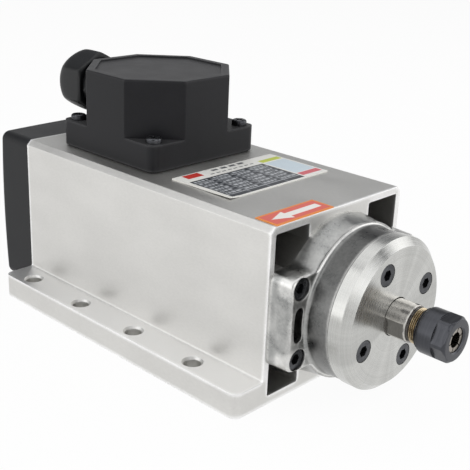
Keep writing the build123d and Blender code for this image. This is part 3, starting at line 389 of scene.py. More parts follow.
@dataclass(frozen=True)
class TurnedFinish(Finish):
    """A lathe-turned metal: its grain is rings about an axis along X, and highlights cross them.

    Where reflection_streak_share isn't 0, painted dark streaks of reflection that run out from
    the axis dim it by that at most, with about reflection_streaks_per_radian of them.
    """

    center_y: float = 0.0
    center_z: float = AXIS_HEIGHT
    reflection_streak_share: float = 0.0
    reflection_streaks_per_radian: float = 2.2

    reflection_streak_band: ClassVar[tuple[float, float]] = (0.38, 0.58)

    def radial(self, tree: Tree) -> Socket:
        """Finds the vector from the turning axis to the point, square to the axis.

        Args:
            tree: node tree that gets the nodes.

        Returns:
            The vector in metres.
        """
        where = add_node(tree, "ShaderNodeTexCoord")
        center = (0, self.center_y * MM, self.center_z * MM)
        offset = add_node(tree, "ShaderNodeVectorMath", {0: where.outputs["Object"], 1: center},
                          operation="SUBTRACT")
        flat = add_node(tree, "ShaderNodeVectorMath", {0: offset.outputs[0], 1: (0, 1, 1)},
                        operation="MULTIPLY")
        return flat.outputs[0]

    def distance(self, tree: Tree) -> Socket:
        """Distance from the turning axis in metres."""
        reach = add_node(tree, "ShaderNodeVectorMath", {0: self.radial(tree)}, operation="LENGTH")
        return reach.outputs["Value"]

    def place(self, tree: Tree) -> Socket:
        """Finds the vector on which the grain is read.

        Args:
            tree: node tree that gets the nodes.

        Returns:
            Distance from the axis and station along it, in metres.
        """
        rings = add_node(tree, "ShaderNodeCombineXYZ",
                         {0: self.distance(tree), 1: object_axes(tree).outputs["X"]})
        return rings.outputs["Vector"]

    def colour(self, tree: Tree, pattern: Socket) -> Socket:
        """Mixes the base colour.

        Args:
            tree: node tree that gets the nodes.
            pattern: grain and cloud, from 0 to 1.

        Returns:
            The metal, dimmed in painted streaks of reflection that run out from the axis.
        """
        metal = super().colour(tree, pattern)
        if self.reflection_streak_share == 0:
            return metal
        # Painted dark streaks of reflection, running out from the axis.
        outward = add_node(tree, "ShaderNodeVectorMath", {0: self.radial(tree)},
                           operation="NORMALIZE")
        streaks = add_node(tree, "ShaderNodeTexNoise",
                           {"Vector": outward.outputs[0], "Scale": self.reflection_streaks_per_radian,
                            "Detail": 4.0, "Roughness": 0.7})
        share = add_node(tree, "ShaderNodeMapRange",
                         {"Value": streaks.outputs["Fac"], "From Min": self.reflection_streak_band[0],
                          "From Max": self.reflection_streak_band[1], "To Min": 1 - self.reflection_streak_share})
        dimmed = add_node(tree, "ShaderNodeMix",
                          {0: share.outputs["Result"], 6: BLACK, 7: metal}, data_type="RGBA")
        return dimmed.outputs[2]

    def tangent(self, tree: Tree) -> Socket:
        """Finds the direction round the axis, along the tool marks.

        Args:
            tree: node tree that gets the nodes.

        Returns:
            The direction in world space.
        """
        around = add_node(tree, "ShaderNodeVectorMath", {0: (1, 0, 0), 1: self.radial(tree)},
                          operation="CROSS_PRODUCT")
        turned = add_node(tree, "ShaderNodeVectorTransform", {0: around.outputs[0]},
                          vector_type="VECTOR", convert_from="OBJECT", convert_to="WORLD")
        return turned.outputs[0]


@dataclass(frozen=True)
class ShaftFinish(TurnedFinish):
    """Ground steel, darker on the flats; its cut thread has a straw oil film, with painted shade at
    its roots.
    """

    film: str = "c6b698"
    film_root_shade: str = "3a3128"
    root_radius: float = 6.62
    crest_radius: float = 6.92
    film_start: float = 122.9
    film_end: float = 123.6
    milled_radius: float = 7.44
    milled_blend: float = 0.03
    milled_share: float = 0.34

    def colour(self, tree: Tree, pattern: Socket) -> Socket:
        """Mixes the base colour.

        Args:
            tree: node tree that gets the nodes.
            pattern: grain and cloud, from 0 to 1.

        Returns:
            Ground steel, darker on the flats, turning straw-coloured from the thread's start, with
            painted shade towards the thread's roots.
        """
        steel = super().colour(tree, pattern)
        share = add_node(tree, "ShaderNodeMapRange",
                         {"Value": object_axes(tree).outputs["X"],
                          "From Min": self.film_start * MM, "From Max": self.film_end * MM})
        round_part = add_node(tree, "ShaderNodeMapRange",
                              {"Value": self.distance(tree),
                               "From Min": (self.milled_radius - self.milled_blend) * MM,
                               "From Max": self.milled_radius * MM, "To Min": self.milled_share})
        milled = add_node(tree, "ShaderNodeMix",
                          {0: round_part.outputs["Result"], 6: BLACK, 7: steel},
                          data_type="RGBA")
        # Painted shade: the oil film darkens towards the thread's roots.
        crest = add_node(tree, "ShaderNodeMapRange",
                         {"Value": self.distance(tree), "From Min": self.root_radius * MM,
                          "From Max": self.crest_radius * MM})
        oiled_and_shaded = add_node(tree, "ShaderNodeMix",
                         {0: crest.outputs["Result"], 6: linear(self.film_root_shade),
                          7: linear(self.film)}, data_type="RGBA")
        mix = add_node(tree, "ShaderNodeMix",
                       {0: share.outputs["Result"], 6: milled.outputs[2], 7: oiled_and_shaded.outputs[2]},
                       data_type="RGBA")
        return mix.outputs[2]


@dataclass(frozen=True)
class CastFinish(Finish):
    """Die-cast metal whose nose, ahead of a station, is darker than its flange."""

    nose_start: float = 94.6
    nose_end: float = 96.4
    nose_share: float = 0.50
    flange_top_shade_share: float = 0.88
    nose_top_shade_share: float = 0.58

    top_shade_band: ClassVar[tuple[float, float]] = (0.1, 0.7)

    def along_nose(self, tree: Tree, flange: float, nose: float) -> Socket:
        """Goes from one number to another from the flange to the nose.

        Args:
            tree: node tree that gets the nodes.
            flange: number on the flange.
            nose: number on the nose.

        Returns:
            The number at each place.
        """
        step = add_node(tree, "ShaderNodeMapRange",
                        {"Value": object_axes(tree).outputs["X"],
                         "From Min": self.nose_start * MM, "From Max": self.nose_end * MM,
                         "To Min": flange, "To Max": nose})
        return step.outputs["Result"]

    def colour(self, tree: Tree, pattern: Socket) -> Socket:
        """Mixes the base colour.

        Args:
            tree: node tree that gets the nodes.
            pattern: grain and cloud, from 0 to 1.

        Returns:
            Mottled grey, darkened along the nose, with painted shade where it faces up.
        """
        grey = super().colour(tree, pattern)
        # Painted shade on faces that look up, deeper on the nose than on the flange.
        above = add_node(tree, "ShaderNodeMapRange",
                         {"Value": upward_facing(tree), "From Min": self.top_shade_band[0],
                          "From Max": self.top_shade_band[1], "To Min": 1.0,
                          "To Max": self.along_nose(tree, self.flange_top_shade_share,
                                                    self.nose_top_shade_share)})
        both = add_node(tree, "ShaderNodeMath",
                        {0: self.along_nose(tree, 1.0, self.nose_share),
                         1: above.outputs["Result"]}, operation="MULTIPLY")
        dim = add_node(tree, "ShaderNodeMix", {0: both.outputs[0], 6: BLACK, 7: grey},
                       data_type="RGBA")
        return dim.outputs[2]


@dataclass(frozen=True)
class PrintedFinish(Finish):
    """A printed foil: its colour comes from the piece's own colour attribute."""

    attribute: str = "print"
    least_ink: float = 0.94

    def colour(self, tree: Tree, pattern: Socket) -> Socket:
        """Mixes the base colour.

        Args:
            tree: node tree that gets the nodes.
            pattern: grain and cloud, from 0 to 1.

        Returns:
            The print, very slightly uneven.
        """
        ink = add_node(tree, "ShaderNodeVertexColor", layer_name=self.attribute)
        uneven = add_node(tree, "ShaderNodeMapRange",
                          {"Value": pattern, "To Min": self.least_ink, "To Max": 1.0})
        hue = add_node(tree, "ShaderNodeHueSaturation",
                       {"Color": ink.outputs["Color"], "Value": uneven.outputs["Result"]})
        return hue.outputs["Color"]


class Palette:
    """Every finish of the motor, by the name of its material slot."""

    # Blasted and clear-anodised extrusion: even, light, silky grey with a fine sparkle and faint
    # die lines. It has painted shade in its ducts, painted light on the tops of its feet and a
    # painted highlight on its outer edges.
    extruded_aluminium = Finish("extruded_aluminium", "d6d5d2", "cccbc8", 1.0, 0.44, 0.05,
                                grain_mm=0.7, cloud_mm=14.0, relief_mm=0.02,
                                stretch=(2.2, 1.0, 1.0), edge_mm=0.55, shaded_recess_mm=17.0,
                                recess_shade_depth=0.97, shaded_recess_half_width_mm=38.5, level_light_share=0.62,
                                level_light_tone="ffffff", level_top_mm=14.0, level_inset_mm=38.5,
                                edge_highlight_mm=2.4, edge_highlight_share=0.9, edge_highlight_tone="ffffff")
    # Die-cast aluminium, tumbled: blotchy blue-grey with soft dents, a painted highlight on its
    # outer edges, and painted shade in its recesses and on faces that look up.
    cast_aluminium = CastFinish("cast_aluminium", "b6b6b4", "8a8b8a", 1.0, 0.33, 0.09, grain_mm=1.1,
                                cloud_mm=7.0, relief_mm=0.05, edge_mm=0.5, shaded_recess_mm=3.0,
                                recess_shade_depth=0.45, cloud_share=0.6, edge_highlight_mm=2.4, edge_highlight_share=0.6)
    # Faced and turned aluminium: bright, with rings of tool marks and radial streaks of light,
    # partly painted into its colour as dark streaks of reflection.
    turned_aluminium = TurnedFinish("turned_aluminium", "c9c9c6", "bfbfbc", 1.0, 0.27, 0.03,
                                    grain_mm=0.3, cloud_mm=1.2, relief_mm=0.003, edge_mm=0.2,
                                    anisotropy=0.7, reflection_streak_share=0.16)
    # Machined rear shield, hidden behind the fan cover: duller turned aluminium.
    end_bell_aluminium = TurnedFinish("end_bell_aluminium", "c4c4c2", "a5a5a4", 1.0, 0.42, 0.06,
                                      grain_mm=0.6, relief_mm=0.01, anisotropy=0.4)
    # Ground shaft steel: near-mirror grey with very fine rings, and painted shade in its narrowest
    # recesses, such as the thread's roots.
    turned_steel = ShaftFinish("turned_steel", "e0ddd8", "d0cdc8", 1.0, 0.20, 0.03, grain_mm=0.3,
                               cloud_mm=1.2, relief_mm=0.002, edge_mm=0.1, anisotropy=0.3,
                               shaded_recess_mm=0.7, recess_shade_depth=0.85)
    # Lapped bearing rings: clean, bright chrome steel.
    bearing_steel = TurnedFinish("bearing_steel", "cdced0", "babbbd", 1.0, 0.16, 0.03, grain_mm=0.3,
                                 relief_mm=0.002, edge_mm=0.15, anisotropy=0.4)
    # Lapped balls: mirror chrome steel.
    ball_steel = Finish("ball_steel", "d4d5d7", "c6c7c9", 1.0, 0.08, 0.02, grain_mm=0.4,
                        relief_mm=0.0005, edge_mm=0.05)
    # Moulded polyamide cage: warm ivory, slightly waxy.
    cage_polyamide = Finish("cage_polyamide", "d8cfb6", "c8bea2", 0.0, 0.42, grain_mm=0.5,
                            relief_mm=0.006, ior=1.53)
    # Turned sealing ring: satin steel.
    seal_steel = TurnedFinish("seal_steel", "b8b6b2", "9c9a97", 1.0, 0.28, grain_mm=0.4,
                              relief_mm=0.005, anisotropy=0.5, edge_mm=0.15)
    # Zinc-plated cap screws in the casting: soft grey with a faint blue cast, and painted shade
    # in their sockets.
    screw_steel = Finish("screw_steel", "8d8f92", "6e7073", 1.0, 0.34, 0.08, grain_mm=0.6,
                         cloud_mm=3.0, relief_mm=0.01, edge_mm=0.15, shaded_recess_mm=2.0)
    # Black-oxide cap screws: oily black with a thin grey shine on the rims, and painted shade in
    # their sockets.
    black_screw_steel = Finish("black_screw_steel", "56575a", "35363a", 0.9, 0.27, 0.07,
                               grain_mm=0.5, cloud_mm=2.5, relief_mm=0.008, edge_mm=0.2,
                               shaded_recess_mm=2.0, recess_shade_depth=0.6)
    # Stacked silicon-steel laminations: fine bands along the stack with a blued tint.
    lamination_steel = Finish("lamination_steel", "8d9298", "5e646b", 0.9, 0.40, grain_mm=0.5,
                              cloud_mm=1.0, relief_mm=0.03, stretch=(1.0, 30.0, 30.0))
    # Die-cast rotor cage: dull light grey.
    cage_aluminium = Finish("cage_aluminium", "b9bbbd", "989a9d", 1.0, 0.45, grain_mm=1.2,
                            relief_mm=0.03)
    # Varnished copper end turns: amber strands laid round the core.
    winding_copper = Finish("winding_copper", "b4622e", "6f3215", 0.7, 0.36, 0.08, grain_mm=0.8,
                            cloud_mm=4.0, relief_mm=0.12, stretch=(1.0, 6.0, 6.0), coat=0.4)
    # Tempered spring strip: blued steel.
    spring_steel = Finish("spring_steel", "6d7684", "4b525e", 1.0, 0.26, grain_mm=0.5,
                          relief_mm=0.004)
    # Moulded fan: matt black polyamide.
    fan_plastic = Finish("fan_plastic", "2b2c2e", "232426", 0.0, 0.50, grain_mm=0.5,
                         relief_mm=0.015, ior=1.53)
    # Spark-textured fan cover: satin black with a broad soft sheen, a little painted light on its
    # level faces and a faint painted highlight on its outer edges.
    cover_plastic = Finish("cover_plastic", "191a1d", "131416", 0.0, 0.44, 0.05, grain_mm=0.55,
                           cloud_mm=12.0, relief_mm=0.03, edge_mm=0.6, ior=1.5, specular=0.22,
                           level_light_share=0.03, edge_highlight_mm=1.5, edge_highlight_share=0.06, edge_highlight_tone="9a9a9c")
    # Spark-textured terminal box: satin black, with painted light that makes its level faces a
    # touch lighter and a faint painted highlight on its outer edges.
    box_plastic = Finish("box_plastic", "1a1a1d", "141417", 0.0, 0.44, 0.05, grain_mm=0.6,
                         cloud_mm=10.0, relief_mm=0.035, edge_mm=0.45, ior=1.5, specular=0.22,
                         level_light_share=0.065, edge_highlight_mm=1.5, edge_highlight_share=0.10, edge_highlight_tone="9a9a9c")
    # Moulded nylon gland: smoother and glossier black than the box.
    gland_plastic = Finish("gland_plastic", "141517", "0f1012", 0.0, 0.38, 0.05, grain_mm=0.7,
                           cloud_mm=6.0, relief_mm=0.02, edge_mm=0.4, ior=1.5, specular=0.3)
    # Foam-rubber gasket: matt charcoal with open pores.
    gasket_rubber = Finish("gasket_rubber", "2a2a2a", "1d1d1d", 0.0, 0.80, grain_mm=0.4,
                           relief_mm=0.05, ior=1.52)
    # Moulded nitrile insert: matt black.
    insert_rubber = Finish("insert_rubber", "1e1e1f", "161617", 0.0, 0.62, grain_mm=0.5,
                           relief_mm=0.02, ior=1.52)
    # Moulded bush: matt grey-black rubber.
    bush_rubber = Finish("bush_rubber", "2c2c2d", "222223", 0.0, 0.66, grain_mm=0.5, relief_mm=0.02,
                         ior=1.52)
    # Silicone lead insulation: warm red-brown with a soft gloss.
    lead_insulation = Finish("lead_insulation", "7c2f22", "682519", 0.0, 0.40, grain_mm=0.5,
                             relief_mm=0.01, ior=1.45)
    # Moulded terminal strip: off-white polyamide.
    terminal_plastic = Finish("terminal_plastic", "d6d2c4", "c6c1b2", 0.0, 0.42, grain_mm=0.5,
                              relief_mm=0.01, ior=1.53)
    # Plated brass screws: pale yellow metal.
    terminal_brass = Finish("terminal_brass", "d2b36a", "b4964f", 1.0, 0.26, grain_mm=0.5,
                            relief_mm=0.005)
    # Hardened and ground collet: bright steel with fine rings, and painted shade in its narrow
    # recesses.
    collet_steel = TurnedFinish("collet_steel", "9a948c", "7f7973", 1.0, 0.24, 0.05, grain_mm=0.3,
                                relief_mm=0.003, edge_mm=0.12, anisotropy=0.3, shaded_recess_mm=1.5)
    # Black-oxide nut: deep blue-black steel with soft turned rings.
    black_oxide_steel = TurnedFinish("black_oxide_steel", "505155", "424347", 0.95, 0.35, 0.04,
                                     grain_mm=0.5, cloud_mm=2.0, relief_mm=0.004, edge_mm=0.25,
                                     anisotropy=0.2)
    # Printed polyester foil: white, with a satin clear face that dips softly where it was
    # pressed on.
    plate_foil = PrintedFinish("plate_foil", "ecebe7", "e2e1dc", 0.0, 0.33, 0.05, grain_mm=2.5,
                               cloud_mm=12.0, relief_mm=0.02, edge_mm=0.1, ior=1.5)
    # Printed vinyl arrow label: saturated ink under a semi-gloss film.
    label_film = PrintedFinish("label_film", "e0512c", "d2461f", 0.0, 0.36, 0.05, grain_mm=2.0,
                               cloud_mm=9.0, relief_mm=0.02, edge_mm=0.1, ior=1.5)

    def __init__(self) -> None:
        """Starts with no material built."""
        self._built: dict[str, bpy.types.Material] = {}

    def get(self, slot: str) -> bpy.types.Material:
        """Gives a slot's material, building it the first time.

        Args:
            slot: name of a finish of this palette.

        Returns:
            The material.
        """
        if slot not in self._built:
            self._built[slot] = getattr(self, slot).make()
        return self._built[slot]


# ---------------------------------------------------------------- dressing and meshes

class Dresser:
    """Gives CAD nodes and new pieces their finishes and reports each."""

    def __init__(self, palette: Palette) -> None:
        """Keeps the palette that the finishes come from."""
        self.palette = palette

    def node(self, name: str, slot: str) -> None:
        """Gives a CAD node its finish.

        Args:
            name: node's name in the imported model.
            slot: material slot of its finish.
        """
        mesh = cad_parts[name].data
        mesh.materials.clear()
        mesh.materials.append(self.palette.get(slot))
        log.info("dressed %s as %s", name, slot)

    def nodes(self, slots: dict[str, str]) -> None:
        """Gives several CAD nodes their finishes, from a table of node to slot."""
        for name, slot in slots.items():
            self.node(name, slot)

    def piece(self, name: str, points: np.ndarray, faces: np.ndarray, slot: str, body: str,
              replaced: Sequence[str] = (), sharp_angle: float = SHARP_ANGLE) -> bpy.types.Object:
        """Puts a new mesh in the scene, riding on a body.

        Args:
            name: name of the piece.
            points: array (n, 3) in millimetres.
            faces: array (m, 4) of point numbers, wound so that normals point outwards.
            slot: material slot of its finish.
            body: CAD body it rides on.
            replaced: CAD nodes it stands for.
            sharp_angle: edges that turn by more than this, in degrees, stay crisp.

        Returns:
            The new object.
        """
        mesh = bpy.data.meshes.new(name)
        mesh.from_pydata((points * MM).tolist(), [], faces.tolist())
        work = bmesh.new()
        work.from_mesh(mesh)
        bmesh.ops.remove_doubles(work, verts=work.verts, dist=1e-6)
        bmesh.ops.dissolve_degenerate(work, edges=work.edges, dist=1e-7)
        work.to_mesh(mesh)
        work.free()
        mesh.shade_smooth()
        mesh.set_sharp_from_angle(angle=math.radians(sharp_angle))
        mesh.materials.append(self.palette.get(slot))
        piece = bpy.data.objects.new(name, mesh)
        bpy.context.scene.collection.objects.link(piece)
        if replaced:
            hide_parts(*replaced)
        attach(piece, body)
        log.info("made %s with %d faces as %s", name, len(mesh.polygons), slot)
        return piece


def grid_faces(rows: int, columns: int, close_rows: bool = False,
               close_columns: bool = False) -> np.ndarray:
    """Quads of a grid of points numbered row by row.

    Args:
        rows: number of rows of points.
        columns: number of points in a row.
        close_rows: joins the last row to the first.
        close_columns: joins the end of each row to its start.

    Returns:
        Array (m, 4): each quad is a point, the next in its row, and the same two in the next
        row, in order round.
    """
    row = np.arange(rows if close_rows else rows - 1)
    column = np.arange(columns if close_columns else columns - 1)
    i, j = np.meshgrid(row, column, indexing="ij")
    next_i = (i + 1) % rows
    next_j = (j + 1) % columns
    quads = [i * columns + j, i * columns + next_j, next_i * columns + next_j, next_i * columns + j]
    return np.stack(quads, -1).reshape(-1, 4)


def spin(stations: np.ndarray, radii: np.ndarray, angles: np.ndarray,
         center: tuple[float, float] = (0.0, AXIS_HEIGHT)) -> np.ndarray:
    """Points of a surface round an axis along X whose radius may change with the angle.

    A point stands at its row's station, and at its radius times the cosine of its angle along Y
    and the sine of it along Z from the centre. Angles run from +Y towards +Z.

    Args:
        stations: X of each row, n numbers.
        radii: radius at each row and angle, (n, m) or (n, 1).
        angles: m angles in radians.
        center: Y and Z of the axis.

    Returns:
        Array (n * m, 3).
    """
    reach = np.broadcast_to(radii, (len(stations), len(angles)))
    x = np.broadcast_to(stations[:, None], reach.shape)
    y = center[0] + reach * np.cos(angles)
    z = center[1] + reach * np.sin(angles)
    return np.stack([x, y, z], -1).reshape(-1, 3)


def round_angles(count: int, extra: Sequence[float] = ()) -> np.ndarray:
    """Evenly spaced angles round a circle, with extra ones put in order among them.

    An even angle that lies within a third or so of a step from an extra one gives way to it.

    Args:
        count: number of even angles.
        extra: further angles in radians, such as those of corners.

    Returns:
        The angles in radians, from 0 up.
    """
    even = np.arange(count) * TAU / count
    added = np.mod(np.asarray(extra, float), TAU)
    if len(added) == 0:
        return even
    crowded = 0.3 * TAU / count
    gap = np.abs(even[:, None] - added[None, :])
    keep = np.minimum(gap, TAU - gap).min(axis=1) > crowded
    return np.unique(np.round(np.concatenate([even[keep], added]), 6))


class Rings:
    """A surface round an axis along X, gathered ring by ring from one end to the other."""

    def __init__(self, angles: np.ndarray) -> None:
        """Starts with no ring.

        Args:
            angles: angles of every ring's points, in radians.
        """
        self.angles = angles
        self.stations: list[float] = []
        self.radii: list[np.ndarray] = []

    def add(self, station: float, radii: np.ndarray) -> None:
        """Adds a ring at a station, with its own radius at each angle."""
        self.stations.append(station)
        self.radii.append(radii)

    def turn(self, profile: Iterable[tuple[float, float]]) -> None:
        """Adds a round ring for each point of a profile.

        Args:
            profile: (station, radius) points in order.
        """
        for station, radius in profile:
            self.add(station, np.full_like(self.angles, radius))

    def surface(self, center: tuple[float, float] = (0.0, AXIS_HEIGHT),
                closed: bool = True) -> tuple[np.ndarray, np.ndarray]:
        """Works out the surface.

        Args:
            center: Y and Z of the axis.
            closed: joins the last ring to the first, as in a pipe's wall.

        Returns:
            Points in millimetres and quads.
        """
        points = spin(np.array(self.stations), np.array(self.radii), self.angles, center)
        faces = grid_faces(len(self.stations), len(self.angles), close_rows=closed,
                           close_columns=True)
        return points, faces


def polygon_reach(angles: np.ndarray, half_width: float, first: float, sides: int,
                  sharpness: float = 0.0) -> np.ndarray:
    """Radius of a regular polygon at each angle.

    The radius is the half width over the cosine of the angle to the nearest side's normal. With a
    sharpness, the nearest side gives way to a power mean of all sides, which rounds the corners.

    Args:
        angles: angles in radians.
        half_width: axis to the middle of a side.
        first: angle of one side's normal in degrees.
        sides: number of sides.
        sharpness: power of the mean, or 0 for sharp corners.

    Returns:
        One radius per angle.
    """
    normals = math.radians(first) + np.arange(sides) * TAU / sides
    facing = np.clip(np.cos(angles[:, None] - normals[None, :]), 0.0, 1.0)
    if sharpness > 0:
        return half_width / (facing ** sharpness).sum(axis=1) ** (1 / sharpness)
    return half_width / facing.max(axis=1)


def rounded_run(corners: Sequence[tuple[float, float, float]], steps: int = 4) -> np.ndarray:
    """A profile with its corners rounded.

    Each corner is replaced by a quadratic curve that leaves the line before it and joins the line
    after it at the corner's setback.

    Args:
        corners: (station, radius, setback) in order; a setback of 0 keeps the corner sharp.
        steps: points per rounded corner, less one.

    Returns:
        Array (n, 2) of station and radius.
    """
    run: list[np.ndarray] = []
    for i, (x, r, setback) in enumerate(corners):
        here = np.array([x, r])
        if setback == 0 or i in (0, len(corners) - 1):
            run.append(here[None])
            continue
        before = np.array(corners[i - 1][:2]) - here
        after = np.array(corners[i + 1][:2]) - here
        start = here + before * setback / np.linalg.norm(before)
        end = here + after * setback / np.linalg.norm(after)
        t = np.linspace(0, 1, steps + 1)[:, None]
        run.append((1 - t) ** 2 * start + 2 * t * (1 - t) * here + t ** 2 * end)
    return np.concatenate(run)


def cutter(points: np.ndarray, count: int) -> bpy.types.Object:
    """A closed solid to cut with, from rings of points.

    Args:
        points: array (n, 3) in millimetres, ring after ring.
        count: number of points in a ring.

    Returns:
        The solid, with walls between the rings and a face over each end.
    """
    rings = len(points) // count
    last = (rings - 1) * count
    ends = [list(range(count)), list(range(last, last + count))]
    sides = grid_faces(rings, count, close_columns=True).tolist()
    mesh = bpy.data.meshes.new("cutter")
    mesh.from_pydata((points * MM).tolist(), [], sides + ends)
    work = bmesh.new()
    work.from_mesh(mesh)
    bmesh.ops.remove_doubles(work, verts=work.verts, dist=1e-7)
    bmesh.ops.recalc_face_normals(work, faces=work.faces)
    work.to_mesh(mesh)
    work.free()
    solid = bpy.data.objects.new("cutter", mesh)
    bpy.context.scene.collection.objects.link(solid)
    return solid


def drill(profile: Sequence[tuple[float, float]], center: tuple[float, float],
          count: int = 40) -> bpy.types.Object:
    """A turned solid to cut with.

    Args:
        profile: (station, radius) points in order.
        center: Y and Z of its axis, which runs along X.
        count: number of points in a ring.

    Returns:
        The solid.
    """
    run = np.array(profile)
    return cutter(spin(run[:, 0], run[:, 1:2], round_angles(count), center), count)


def prism(outline: np.ndarray, start: float, end: float) -> bpy.types.Object:
    """A straight solid to cut with.

    Args:
        outline: array (n, 2) of Y and Z.
        start: station of one end.
        end: station of the other.

    Returns:
        The solid: the outline drawn from one station to the other.
    """
    count = len(outline)
    rows = [np.column_stack([np.full(count, x), outline]) for x in (start, end)]
    return cutter(np.concatenate(rows), count)


def cut(piece: bpy.types.Object, solids: Sequence[bpy.types.Object]) -> None:
    """Takes solids out of a piece and puts the result in its mesh.

    Args:
        piece: piece that is cut.
        solids: closed solids, which are removed afterwards.
    """
    for solid in solids:
        modifier = piece.modifiers.new("cut", "BOOLEAN")
        modifier.object = solid
        modifier.operation = "DIFFERENCE"
        modifier.solver = "EXACT"
    finished = piece.evaluated_get(bpy.context.evaluated_depsgraph_get())
    mesh = bpy.data.meshes.new_from_object(finished)
    piece.modifiers.clear()
    piece.data = mesh
    mesh.shade_smooth()
    mesh.set_sharp_from_angle(angle=math.radians(SHARP_ANGLE))
    for solid in solids:
        bpy.data.objects.remove(solid)


# ---------------------------------------------------------------- sub-assemblies

@dataclass
class MotorBody:
    """The extruded body with its two end castings and their screws."""

    dresser: Dresser
    front_face: float = 84.0
    flange_face: float = 94.5
    cover_seat: float = 105.4
    ear_screw_y: float = 33.5
    ear_screw_z: float = 14.4
    ear_half_width: float = 39.4
    ear_half_height: float = 19.7
    ear_power: float = 14.0
    draft: float = 0.035
    flange_radius: float = 33.6
    flange_draft: float = 0.143
    blend_sharpness: float = 1.4
    blend_level: float = 34.0
    edge_round: float = 1.2
    nose_radius: float = 30.4
    nose_taper: float = 0.1
    nose_fillet: float = 1.6
    fillet_foot: float = 0.15
    seat_chamfer: tuple[float, float] = (0.5, 0.4)
    bearing_radius: float = 16.02
    shoulder_face: float = 86.4
    shoulder_radius: float = 12.8
    inner_face: float = 83.0
    inner_radius: float = 24.0
    spigot_end: float = 80.0
    spigot_mouth: float = 26.5
    spigot_radius: float = 29.95
    head_hole: float = 4.5
    head_hole_depth: float = 6.0
    shank_hole: float = 2.75
    vent_radius: float = 34.4
    vent_width: float = 4.6
    vent_half_height: float = 4.9
    # How far the cutting solids reach past the faces.
    past_front: float = 3.0
    past_back: float = 1.0

    def outline(self, angles: np.ndarray, depth: float) -> np.ndarray:
        """Outline of the flange with its ears at a depth in front of the body.

        The round of the flange and the rounded rectangle of the ears are each given as a radius
        at every angle. The rectangle is a curve whose two shares of its half sizes, raised to a
        high power, add up to one. The soft maximum of the two radii, a log of summed
        exponentials, joins them with a fillet. It is taken about the blend level, which keeps
        the exponentials small and changes nothing else.

        Args:
            angles: angles in radians.
            depth: distance in front of the body, in millimetres.

        Returns:
            One radius per angle.
        """
        half_y = self.ear_half_width - self.draft * depth
        half_z = self.ear_half_height - self.draft * depth
        power = self.ear_power
        across = np.abs(np.cos(angles) / half_y) ** power
        upright = np.abs(np.sin(angles) / half_z) ** power
        ears = (across + upright) ** (-1 / power)
        disc = np.full_like(angles, self.flange_radius - self.flange_draft * depth)
        rate, level = self.blend_sharpness, self.blend_level
        return np.log(np.exp((ears - level) * rate) + np.exp((disc - level) * rate)) / rate + level

    def vent(self, side: float) -> np.ndarray:
        """Outline of a curved vent.

        It is an arc of constant width about the spindle axis, with a half circle at each end.

        Args:
            side: angle of the middle of the vent in degrees.

        Returns:
            Array (n, 2) of Y and Z.
        """
        reach = math.asin(self.vent_half_height / self.vent_radius)
        half = self.vent_width / 2
        sweep = np.linspace(-reach, reach, 13)
        middle = math.radians(side)
        outer = [(self.vent_radius + half, t) for t in sweep]
        inner = [(self.vent_radius - half, t) for t in sweep[::-1]]
        arc = np.array([(r * math.cos(t + middle), r * math.sin(t + middle))
                        for r, t in outer + inner])
        ends = []
        for sign in (1, -1):
            angle = middle + sign * reach
            center = self.vent_radius * np.array([math.cos(angle), math.sin(angle)])
            away = np.array([-math.sin(angle), math.cos(angle)]) * sign
            along = np.array([math.cos(angle), math.sin(angle)]) * sign
            turns = np.linspace(0, math.pi, 11)[1:-1, None]
            ends.append(center + half * (np.cos(turns) * along + np.sin(turns) * away))
        loop = np.concatenate([arc[:len(sweep)], ends[0], arc[len(sweep):], ends[1]])
        return loop + np.array([0.0, AXIS_HEIGHT])

    def housing(self) -> None:
        """The cast front housing.

        A drafted flange with ears and a rounded front edge leads by a fillet into the round
        nose. Its screw holes and its two vents are cut afterwards.
        """
        rings = Rings(round_angles(288))
        rim = self.outline(rings.angles, self.flange_face - self.front_face)
        quarter = np.linspace(0, math.pi / 2, 6)
        rings.turn([(self.front_face, self.spigot_radius)])
        rings.add(self.front_face, self.outline(rings.angles, 0.0))
        for t in quarter:
            rings.add(self.flange_face - self.edge_round * (1 - math.sin(t)),
                      rim - self.edge_round * (1 - math.cos(t)))
        foot = self.nose_radius + self.nose_fillet + self.fillet_foot
        for share in (0.5, 1.0):
            rings.add(self.flange_face, (rim - self.edge_round) * (1 - share) + foot * share)
        rings.turn([(self.flange_face + self.nose_fillet * (1 - math.cos(t)),
                     self.nose_radius + self.nose_fillet * (1 - math.sin(t)) + self.nose_taper)
                    for t in quarter[1:]])
        bevel_length, bevel_height = self.seat_chamfer
        rings.turn([(self.cover_seat - bevel_length, self.nose_radius),
                    (self.cover_seat, self.nose_radius - bevel_height),
                    (self.cover_seat, self.bearing_radius),
                    (self.shoulder_face, self.bearing_radius),
                    (self.shoulder_face, self.shoulder_radius),
                    (self.inner_face, self.shoulder_radius),
                    (self.inner_face, self.inner_radius),
                    (self.spigot_end, self.spigot_mouth),
                    (self.spigot_end, self.spigot_radius)])
        housing = self.dresser.piece("front_housing_casting", *rings.surface(), "cast_aluminium",
                                     "housing", ["front_bearing_housing"])
        front, back = self.flange_face + self.past_front, self.front_face - self.past_back
        floor = self.flange_face - self.head_hole_depth
        step = [(front, self.head_hole), (floor, self.head_hole), (floor, self.shank_hole),
                (back, self.shank_hole)]
        holes = [drill(step, (y, AXIS_HEIGHT + z))
                 for y in (-self.ear_screw_y, self.ear_screw_y)
                 for z in (-self.ear_screw_z, self.ear_screw_z)]
        vents = [prism(self.vent(side), back, front) for side in (0.0, 180.0)]
        cut(housing, holes + vents)

    def dress(self) -> None:
        """Gives the body, castings and fasteners their finishes."""
        self.housing()
        self.dresser.nodes({
            "body_extrusion": "extruded_aluminium",
            "front_bearing_housing": "cast_aluminium",
            "front_housing_screws": "black_screw_steel",
            "rear_end_bell": "end_bell_aluminium",
            "rear_end_bell_screws": "screw_steel",
        })


